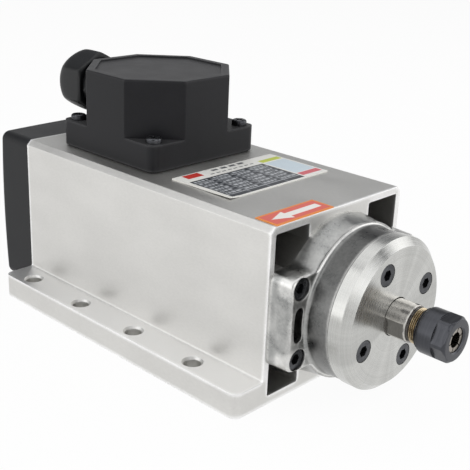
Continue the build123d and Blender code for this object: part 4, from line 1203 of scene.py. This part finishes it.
@dataclass
class RunningGear:
    """Bearings, rotor, stator and fan."""

    dresser: Dresser

    def dress(self) -> None:
        """Gives every bearing part and the motor's iron and copper their finishes."""
        for bearing in ("front_bearing_1", "front_bearing_2", "rear_bearing"):
            self.dresser.nodes({
                f"{bearing}_outer_ring": "bearing_steel",
                f"{bearing}_inner_ring": "bearing_steel",
                f"{bearing}_cage": "cage_polyamide",
                f"{bearing}_balls": "ball_steel",
            })
        self.dresser.nodes({
            "rotor_core": "lamination_steel",
            "rotor_cage": "cage_aluminium",
            "stator_core": "lamination_steel",
            "stator_winding": "winding_copper",
            "bearing_preload_spring": "spring_steel",
            "cooling_fan": "fan_plastic",
            "fan_retaining_ring": "spring_steel",
        })


@dataclass
class Nose:
    """Front cover, shaft nose, collet and collet nut."""

    dresser: Dresser
    crisp_angle: float = 25.0
    cover_face: float = 113.7
    shaft_radius: float = 7.5
    shaft_end: float = 136.0
    flat_end: float = 121.9
    flat_across: float = 13.0
    flat_angle: float = 15.0
    flat_bevel: tuple[float, float] = (122.5, 122.8)
    thread_start: float = 123.5
    thread_radius: float = 7.0
    thread_root: float = 6.45
    thread_pitch: float = 0.75
    thread_depth: float = 0.46
    thread_slope: float = 1.3
    thread_crest: float = 0.12
    thread_run_in: float = 0.3
    thread_rings: int = 8
    tip_bevel: float = 0.6
    nut_back: float = 127.0
    nut_face: float = 140.4
    nut_radius: float = 9.0
    nut_across: float = 16.2
    nut_flat_length: float = 5.6
    nut_angle: float = 34.5
    nut_front_chamfer: float = 1.0
    nut_back_chamfer: float = 1.5
    nut_mouth: float = 5.35

    # Turned steps from the rear tip to the front cover, as (station, radius): groove of the
    # retaining ring, fan seat, rear spigot, rear bearing seat, rotor seat and front shoulder.
    shaft_steps: ClassVar[tuple[tuple[float, float], ...]] = (
        (-89.3, 0.01), (-89.3, 4.6), (-88.9, 5.0), (-88.3, 5.0), (-88.3, 4.6), (-87.3, 4.6),
        (-87.3, 5.0), (-77.5, 5.0), (-77.5, 7.0), (-71.5, 7.0), (-71.5, 7.5), (-62.5, 7.5),
        (-62.5, 8.5), (50.0, 8.5), (50.0, 9.5), (86.4, 9.5), (86.4, 7.5))
    # The taper that takes the collet and the bore behind it.
    shaft_bore: ClassVar[tuple[tuple[float, float], ...]] = (
        (136.0, 5.716), (121.1, 3.622), (121.1, 3.5), (102.0, 3.5), (100.0, 0.01))
    # Inside of the nut: its taper on the collet, the collet's groove and the thread.
    nut_bore: ClassVar[tuple[tuple[float, float], ...]] = (
        (138.0, 4.95), (138.0, 5.9), (136.2, 5.9), (136.2, 7.05), (127.6, 7.05))

    def thread(self, rings: Rings, end: float) -> None:
        """Adds the rings of a helical thread.

        The bite at an angle is a triangle wave of the turns since the start, less the share of a
        turn that the angle makes. Its slope and level are set so that crest and root are flat,
        and the first of it runs in from the root.

        Args:
            rings: surface that gets the rings.
            end: station where the thread ends.
        """
        for x in np.arange(self.thread_start, end, self.thread_pitch / self.thread_rings):
            turns = (x - self.thread_start) / self.thread_pitch - rings.angles / TAU
            wave = np.abs(2 * np.mod(turns, 1.0) - 1)
            bite = np.clip(self.thread_slope * wave - self.thread_crest, 0.0, 1.0)
            ease = min(1.0, (x - self.thread_start) / self.thread_run_in)
            rings.add(x, (self.thread_radius - self.thread_depth * bite) * ease
                      + self.thread_root * (1 - ease))

    def shaft(self) -> None:
        """The shaft: turned steps, two wrench flats on the nose and a thread under the nut.

        The flats hold the radius down to half their width over the cosine of the angle to them.
        """
        half = self.flat_across / 2
        reach = math.acos(half / self.shaft_radius)
        middle = math.radians(self.flat_angle)
        corners = [middle + side + sign * reach for side in (0, math.pi) for sign in (-1, 1)]
        rings = Rings(round_angles(120, corners))
        rings.turn([*self.shaft_steps, (self.cover_face, self.shaft_radius)])
        # Beyond 60 degrees from a flat its line lies outside the round, so the cosine is held.
        slant = np.maximum(np.abs(np.cos(rings.angles - middle)), 0.5)
        milled = np.minimum(self.shaft_radius, half / slant)
        rings.add(self.cover_face, milled)
        rings.add(self.flat_end, milled)
        bevel_start, bevel_end = self.flat_bevel
        rings.turn([(self.flat_end, self.shaft_radius), (bevel_start, self.shaft_radius),
                    (bevel_end, 7.2), (bevel_end, self.thread_root),
                    (self.thread_start, self.thread_root)])
        end = self.shaft_end - self.tip_bevel
        self.thread(rings, end)
        rings.turn([(end, 6.95), (self.shaft_end, 6.35), *self.shaft_bore])
        self.dresser.piece("shaft_turned", *rings.surface(closed=False), "turned_steel", "rotor",
                           ["rotor_shaft"], self.crisp_angle)

    def nut(self) -> None:
        """The collet nut: a turned cap whose front is milled to a hexagon.

        In front of the shoulder the radius is the least of the turned profile and the hexagon's,
        which leaves the crescents of the shoulder and scallops in the front chamfer.
        """
        half = self.nut_across / 2
        reach = math.acos(half / self.nut_radius)
        corners = [math.radians(self.nut_angle + 60 * k) + sign * reach
                   for k in range(6) for sign in (-1, 1)]
        rings = Rings(round_angles(180, corners))
        hexagon = polygon_reach(rings.angles, half, self.nut_angle, 6)
        shoulder = self.nut_face - self.nut_flat_length
        chamfered = self.nut_radius - self.nut_back_chamfer
        rings.turn(rounded_run([(self.nut_back, 7.6, 0), (self.nut_back, chamfered, 0.5),
                                (self.nut_back + self.nut_back_chamfer, self.nut_radius, 0.5),
                                (shoulder, self.nut_radius, 0)]))
        front = rounded_run([(shoulder, self.nut_radius, 0),
                             (self.nut_face - self.nut_front_chamfer, self.nut_radius, 0.35),
                             (self.nut_face, self.nut_radius - self.nut_front_chamfer, 0.35),
                             (self.nut_face, 5.6, 0)], 6)
        for x, r in front:
            rings.add(x, np.minimum(r, hexagon))
        rings.turn([(self.nut_face, self.nut_mouth), (self.nut_face - 0.55, 4.78), *self.nut_bore])
        self.dresser.piece("collet_nut_milled", *rings.surface(), "black_oxide_steel",
                           "collet_nut", ["collet_nut"], self.crisp_angle)

    def dress(self) -> None:
        """Makes the shaft and nut and gives the nose its finishes."""
        self.shaft()
        self.nut()
        self.dresser.nodes({
            "front_bearing_cover": "turned_aluminium",
            "front_cover_screws": "black_screw_steel",
            "nose_seal_ring": "seal_steel",
            "rotor_shaft": "turned_steel",
            "collet_er11": "collet_steel",
            "collet_nut": "black_oxide_steel",
        })


@dataclass
class FanCover:
    """Moulded fan cover and its long screws."""

    dresser: Dresser

    def dress(self) -> None:
        """Gives the cover and its screws their finishes."""
        self.dresser.nodes({
            "rear_fan_cover": "cover_plastic",
            "fan_cover_screws": "black_screw_steel",
        })


@dataclass
class JunctionBox:
    """Terminal box, what is wired inside it, and the cable gland on its rear wall."""

    dresser: Dresser
    gland_height: float = 95.4
    gland_tip: float = -81.4
    gland_back: float = -62.9
    gland_across: float = 27.0
    gland_dome: float = 10.5
    gland_mouth: float = 7.0
    gland_lip: float = 1.6
    gland_bore: float = 11.55
    gland_step: float = -73.8
    insert_radius: float = 9.1
    insert_end: float = -78.6
    corner_sharpness: float = 60.0
    dome_sharpness: float = 18.0
    crisp_angle: float = 38.0

    def gland_nut(self) -> None:
        """The gland's cap nut: a moulded hexagon with soft corners under a deep dome.

        The radius is a soft minimum, a power mean, of a round-cornered hexagon and a turned
        profile: a quarter ellipse from the mouth to just past the full width, straight, then a
        small rounded back edge.
        """
        rings = Rings(round_angles(144))
        half = self.gland_across / 2
        hexagon = polygon_reach(rings.angles, half, 0.0, 6, sharpness=self.corner_sharpness)
        widest = half / math.cos(math.radians(30)) + 0.3
        rise = np.linspace(0, math.pi / 2, 16)
        dome_x = self.gland_tip + self.gland_dome * (1 - np.cos(rise))
        dome_r = (self.gland_mouth + self.gland_lip
                  + (widest - self.gland_mouth - self.gland_lip) * np.sin(rise))
        back = rounded_run([(dome_x[-1] + 0.5, widest, 0), (self.gland_back - 1.6, widest, 0.8),
                            (self.gland_back, widest - 2.4, 0.8),
                            (self.gland_back, 11.6, 0)], 5)
        power = -self.dome_sharpness
        for x, r in [*zip(dome_x, dome_r), *back]:
            rings.add(x, (r ** power + hexagon ** power) ** (1 / power))
        rings.turn([(self.gland_back, self.gland_bore), (self.gland_step, self.gland_bore),
                    (self.gland_step, self.insert_radius), (self.insert_end, self.insert_radius),
                    (self.gland_tip + 0.6, self.gland_mouth),
                    (self.gland_tip, self.gland_mouth + 0.7)])
        self.dresser.piece("gland_cap_nut", *rings.surface((0.0, self.gland_height)),
                           "gland_plastic", "gland_nut", ["gland_nut"], self.crisp_angle)

    def dress(self) -> None:
        """Makes the gland's nut and gives the box, gland and wiring their finishes."""
        self.gland_nut()
        self.dresser.nodes({
            "junction_box_gasket": "gasket_rubber",
            "junction_box_cover": "box_plastic",
            "junction_box_screws": "black_screw_steel",
            "terminal_block": "terminal_plastic",
            "terminal_screws": "terminal_brass",
            "lead_bush": "bush_rubber",
            "motor_leads": "lead_insulation",
            "gland_body": "gland_plastic",
            "gland_insert": "insert_rubber",
            "gland_nut": "gland_plastic",
        })


@dataclass(frozen=True)
class Patch:
    """One printed rectangle: its span along X and along Y, and its ink."""

    x: tuple[float, float]
    y: tuple[float, float]
    ink: str


@dataclass
class Labels:
    """Rating plate and direction-of-rotation label on the roof."""

    dresser: Dresser
    pitch: float = 0.25
    # The plate's corner that stands up: its place, the spans over which the distance past it is
    # counted, their shares, and the sum at which the crease lies.
    lift_corner: tuple[float, float] = (18.7, -24.6)
    lift_span: tuple[float, float] = (33.4, 4.0)
    lift_share: tuple[float, float] = (0.9, 0.55)
    crease: float = 0.62
    lift_height: float = 0.9
    ripple_height: float = 0.12
    ripple_place: float = 0.25
    ripple_width: float = 0.12

    def sheet(self, low: Vector, high: Vector,
              lift: Callable[[np.ndarray, np.ndarray], np.ndarray]
              ) -> tuple[np.ndarray, np.ndarray]:
        """A thin closed plate on a fine grid.

        The top is a grid of points at the plate's height. The rim goes down its four sides to the
        underside, as two more rings of points of the same grid drawn in to the edge.

        Args:
            low: lowest corner of the plate in metres.
            high: highest corner in metres.
            lift: height added at each place, in millimetres, from its X and Y.

        Returns:
            Points in millimetres and quads.
        """
        x0, y0, z0 = (v / MM for v in low)
        x1, y1, z1 = (v / MM for v in high)
        nx = int((x1 - x0) / self.pitch)
        ny = int((y1 - y0) / self.pitch)
        xs = np.concatenate([[x0, x0], np.linspace(x0, x1, nx), [x1, x1]])
        ys = np.concatenate([[y0, y0], np.linspace(y0, y1, ny), [y1, y1]])
        gx, gy = np.meshgrid(xs, ys, indexing="ij")
        depth = np.zeros_like(gx)
        depth[1:-1, 1:-1] = 1.0
        gz = z0 + (z1 - z0) * depth + lift(gx, gy)
        points = np.stack([gx, gy, gz], -1).reshape(-1, 3)
        return points, grid_faces(len(xs), len(ys))

    def plate_lift(self, x: np.ndarray, y: np.ndarray) -> np.ndarray:
        """Height of the rating plate off the roof, where one corner stands up a little.

        The lift grows as the square of the distance past a crease line that cuts the corner, and
        a shallow ripple, a bell curve of that distance, runs along the crease.

        Args:
            x: X of each place in millimetres.
            y: Y of each place.

        Returns:
            Height in millimetres.
        """
        along = (x - self.lift_corner[0]) / self.lift_span[0] * self.lift_share[0]
        beside = (self.lift_corner[1] - y) / self.lift_span[1] * self.lift_share[1]
        past = np.clip(along + beside - self.crease, 0.0, None)
        ripple = np.exp(-((past - self.ripple_place) / self.ripple_width) ** 2) * (past > 0)
        return self.lift_height * past ** 2 + self.ripple_height * ripple

    def flat(self, x: np.ndarray, y: np.ndarray) -> np.ndarray:
        """No height anywhere."""
        return np.zeros_like(x + y)

    def places(self, piece: bpy.types.Object) -> tuple[np.ndarray, np.ndarray]:
        """Reads where the vertices of a piece are.

        Args:
            piece: piece whose mesh is in metres.

        Returns:
            X and Y of each vertex in millimetres.
        """
        vertices = piece.data.vertices
        places = np.empty(len(vertices) * 3)
        vertices.foreach_get("co", places)
        places = places.reshape(-1, 3) / MM
        return places[:, 0], places[:, 1]

    def paint(self, piece: bpy.types.Object, ground: str, patches: Sequence[Patch],
              extra: Sequence[tuple[np.ndarray, str]] = ()) -> None:
        """Writes the print into the piece's colour attribute, later patches over earlier ones.

        Args:
            piece: plate to print.
            ground: colour of the unprinted foil.
            patches: printed rectangles.
            extra: masks over the vertices with their inks, for shapes that aren't rectangles.
        """
        x, y = self.places(piece)
        ink = np.tile(np.array(linear(ground)), (len(x), 1))
        for patch in patches:
            inside = (x >= patch.x[0]) & (x <= patch.x[1]) & (y >= patch.y[0]) & (y <= patch.y[1])
            ink[inside] = linear(patch.ink)
        for mask, code in extra:
            ink[mask] = linear(code)
        layer = piece.data.color_attributes.new("print", "FLOAT_COLOR", "POINT")
        layer.data.foreach_set("color", ink.ravel())

    def table(self) -> list[Patch]:
        """The plate's dark table: ruled rows and columns, with bare dashes in every cell.

        Returns:
            The patches in the order of printing.
        """
        x_span, y_span = (27.3, 51.5), (-26.8, 16.8)
        dark, pale = "33373d", "b9bcc0"
        line = 0.3
        rows = np.arange(30.3, 51.0, 3.0)
        patches = [Patch(x_span, y_span, dark)]
        patches += [Patch((v, v + line), y_span, pale) for v in rows]
        patches += [Patch(x_span, (v, v + line), pale) for v in (-15.8, -4.5, 6.5)]
        # Lengths of the dashes, taken in turn at a stride that doesn't repeat from cell to cell.
        widths = (1.5, 0.9, 2.2, 1.2, 1.8, 0.7, 2.6, 1.1, 1.6)
        dashes_in_cell, gap, dash_low, dash_high = 4, 0.55, 0.9, 2.2
        for i, v in enumerate(np.concatenate([[x_span[0]], rows[:-1]])):
            for j, start in enumerate((-25.8, -14.9, -3.6, 7.4)):
                place = start
                for k in range(dashes_in_cell):
                    width = widths[(2 * i + 3 * j + 4 * k) % len(widths)]
                    patches.append(Patch((v + dash_low, v + dash_high), (place, place + width),
                                         pale))
                    place += width + gap
        return patches

    def rating_plate(self) -> None:
        """The white foil with its dark table, two lines of bare bars and four colour blocks."""
        points, faces = self.sheet(*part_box("rating_plate"), self.plate_lift)
        plate = self.dresser.piece("rating_plate_print", points, faces, "plate_foil", "housing",
                                   ["rating_plate"])
        grey = "6a6c70"
        patches = self.table()
        patches += [Patch((20.2, 21.9), (-8.0 + 5.2 * i, -4.4 + 5.2 * i), grey) for i in range(4)]
        patches += [Patch((24.2, 25.0), (-12.0 + 3.4 * i, -9.8 + 3.4 * i), grey) for i in range(8)]
        patches += [Patch((19.3, 24.0), (-24.0, -15.0), "c8372f"),
                    Patch((23.5, 26.6), (18.0, 30.4), "c3cf3c"),
                    Patch((27.8, 45.6), (18.0, 30.4), "cfdde6"),
                    Patch((46.2, 49.6), (18.0, 30.4), "d6606a")]
        self.paint(plate, "efeee9", patches)

    def direction_label(self) -> None:
        """The orange label with a plain white arrow: a triangular head on a straight tail."""
        low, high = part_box("direction_label")
        points, faces = self.sheet(low, high, self.flat)
        label = self.dresser.piece("direction_label_print", points, faces, "label_film",
                                   "housing", ["direction_label"])
        x, y = self.places(label)
        x0, y0 = low[0] / MM, low[1] / MM
        x1, y1 = high[0] / MM, high[1] / MM
        margin, head_end, head_length, head_half, tail_half, rim = 3.0, 12.0, 9.0, 3.6, 1.6, 0.9
        aside = np.abs(x - (x0 + x1) / 2)
        taper = (y - y0 - margin) * head_half / head_length
        head = (y >= y0 + margin) & (y <= y0 + head_end) & (aside <= taper)
        tail = (y >= y0 + head_end) & (y <= y1 - margin) & (aside <= tail_half)
        edge = (x < x0 + rim) | (x > x1 - rim) | (y < y0 + rim) | (y > y1 - rim)
        self.paint(label, "e0665a", [], [(edge, "ee8f38"), (head | tail, "f4f1ec")])

    def build(self) -> None:
        """Makes both labels."""
        self.rating_plate()
        self.direction_label()


# ---------------------------------------------------------------- studio

class Lamp(Enum):
    """The studio's soft boxes: place in metres, size in metres, power in watts."""

    KEY_LEFT = ((-0.30, -0.95, 0.60), 1.50, 9.0)
    FILL_FRONT = ((1.05, -0.10, 0.40), 1.00, 4.4)
    SIDE_RIGHT = ((0.60, 0.85, 0.45), 0.80, 3.2)
    TOP = ((-0.05, 0.15, 1.10), 1.40, 7.0)


@dataclass
class Studio:
    """Floor, soft lights, surroundings and camera."""

    target: tuple[float, float, float] = (26.86, 0.0, 42.86)
    azimuth: float = 43.21
    elevation: float = 20.71
    roll: float = 2.43
    distance: float = 401.27
    shift_x: float = -1.286
    shift_y: float = -1.181
    lens: float = 70.41
    shade_direction: tuple[float, float, float] = (0.722, -0.640, 0.262)
    shade_outer: float = 17.0
    shade_inner: float = 10.0
    shade_level: float = 0.04
    aim: tuple[float, float, float] = (0.03, 0.0, 0.05)
    floor_reach: float = 3.0
    floor_white: float = 0.95
    low_sky: tuple[float, tuple[float, float, float, float]] = (0.02, (0.85, 0.85, 0.85, 1))
    high_sky: tuple[float, tuple[float, float, float, float]] = (0.45, (0.22, 0.225, 0.235, 1))
    sky_strength: float = 0.55

    def camera(self) -> None:
        """Stands the camera on a sphere round the target, rolled a little and moved sideways."""
        az, el, roll = (math.radians(v) for v in (self.azimuth, self.elevation, self.roll))
        back = Vector((math.sin(az) * math.cos(el), -math.cos(az) * math.cos(el), math.sin(el)))
        right = Vector((0, 0, 1)).cross(back).normalized()
        up = back.cross(right)
        right, up = (right * math.cos(roll) + up * math.sin(roll),
                     up * math.cos(roll) - right * math.sin(roll))
        place = (Vector(self.target) - right * self.shift_x - up * self.shift_y
                 + back * self.distance)
        data = bpy.data.cameras.new("camera")
        data.lens = self.lens
        data.sensor_width = 36.0
        data.clip_start = 0.01
        data.clip_end = 20.0
        camera = bpy.data.objects.new("camera", data)
        bpy.context.scene.collection.objects.link(camera)
        turn = Matrix((right, up, back)).transposed().to_4x4()
        camera.matrix_world = Matrix.Translation(place * MM) @ turn
        bpy.context.scene.camera = camera

    def lamps(self) -> None:
        """Hangs the soft boxes, each facing the motor."""
        for lamp in Lamp:
            place, size, power = lamp.value
            data = bpy.data.lights.new(lamp.name.lower(), "AREA")
            data.shape = "SQUARE"
            data.size = size
            data.energy = power
            light = bpy.data.objects.new(lamp.name.lower(), data)
            bpy.context.scene.collection.objects.link(light)
            light.location = place
            aim = Vector(self.aim) - Vector(place)
            light.rotation_euler = aim.to_track_quat("-Z", "Y").to_euler()

    def floor(self) -> None:
        """A pale floor that the camera and reflections see as near white.

        The rest of it is a plain diffuse paint, which keeps the motor's soft shadow.
        """
        material = bpy.data.materials.new("pale_floor")
        material.use_nodes = True
        tree = material.node_tree
        tree.nodes.clear()
        path = add_node(tree, "ShaderNodeLightPath")
        seen = add_node(tree, "ShaderNodeMath",
                        {0: path.outputs["Is Camera Ray"], 1: mirror_or_clear_ray(tree, path)},
                        operation="MAXIMUM")
        sight = add_node(tree, "ShaderNodeMath", {0: seen.outputs[0], 1: self.floor_white},
                         operation="MULTIPLY")
        paint = add_node(tree, "ShaderNodeBsdfDiffuse", {"Color": linear("f2f2f1")})
        glow = add_node(tree, "ShaderNodeEmission", {"Color": WHITE, "Strength": 1.0})
        mixed = add_node(tree, "ShaderNodeMixShader",
                         {0: sight.outputs[0], 1: paint.outputs[0], 2: glow.outputs[0]})
        add_node(tree, "ShaderNodeOutputMaterial", {"Surface": mixed.outputs[0]})
        mesh = bpy.data.meshes.new("floor")
        reach = self.floor_reach
        corners = [(-reach, -reach, 0), (reach, -reach, 0), (reach, reach, 0), (-reach, reach, 0)]
        mesh.from_pydata(corners, [], [(0, 1, 2, 3)])
        mesh.materials.append(material)
        floor = bpy.data.objects.new("floor", mesh)
        bpy.context.scene.collection.objects.link(floor)

    def surroundings(self) -> None:
        """White to the camera, and a gradient as light and in reflections.

        Reflections also show a dark patch about where the camera stands, as from the person
        behind it. It gives the turned cover and the black parts their contrast.
        """
        world = bpy.data.worlds.new("studio")
        bpy.context.scene.world = world
        world.use_nodes = True
        tree = world.node_tree
        tree.nodes.clear()
        where = add_node(tree, "ShaderNodeTexCoord").outputs["Generated"]
        axes = add_node(tree, "ShaderNodeSeparateXYZ", {0: where})
        ramp = add_node(tree, "ShaderNodeValToRGB", {"Fac": axes.outputs["Z"]})
        for stop, (height, light) in zip(ramp.color_ramp.elements, (self.low_sky, self.high_sky)):
            stop.position, stop.color = height, light
        path = add_node(tree, "ShaderNodeLightPath")
        diffuse = add_node(tree, "ShaderNodeBackground",
                           {"Color": ramp.outputs["Color"], "Strength": self.sky_strength})
        toward = add_node(tree, "ShaderNodeVectorMath", {0: where, 1: self.shade_direction},
                          operation="DOT_PRODUCT")
        shade = add_node(tree, "ShaderNodeMapRange",
                         {"Value": toward.outputs["Value"],
                          "From Min": math.cos(math.radians(self.shade_outer)),
                          "From Max": math.cos(math.radians(self.shade_inner)),
                          "To Min": 1.0, "To Max": self.shade_level})
        mirror = add_node(tree, "ShaderNodeBackground",
                          {"Color": ramp.outputs["Color"], "Strength": shade.outputs["Result"]})
        white = add_node(tree, "ShaderNodeBackground", {"Color": WHITE, "Strength": 1.0})
        first = add_node(tree, "ShaderNodeMixShader",
                         {0: mirror_or_clear_ray(tree, path), 1: diffuse.outputs[0],
                          2: mirror.outputs[0]})
        second = add_node(tree, "ShaderNodeMixShader",
                          {0: path.outputs["Is Camera Ray"], 1: first.outputs[0],
                           2: white.outputs[0]})
        add_node(tree, "ShaderNodeOutputWorld", {"Surface": second.outputs[0]})

    def build(self) -> None:
        """Sets the camera, lights, floor and surroundings."""
        self.camera()
        self.lamps()
        self.floor()
        self.surroundings()
        bpy.context.scene.view_settings.view_transform = "Standard"


def main() -> None:
    """Builds the studio and every sub-assembly in order."""
    logging.basicConfig(level=logging.INFO, format="%(name)s: %(message)s")
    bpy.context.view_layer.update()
    Studio().build()
    dresser = Dresser(Palette())
    for assembly in (MotorBody, RunningGear, Nose, FanCover, JunctionBox):
        assembly(dresser).dress()
    Labels(dresser).build()


if __name__ == "__main__":
    main()
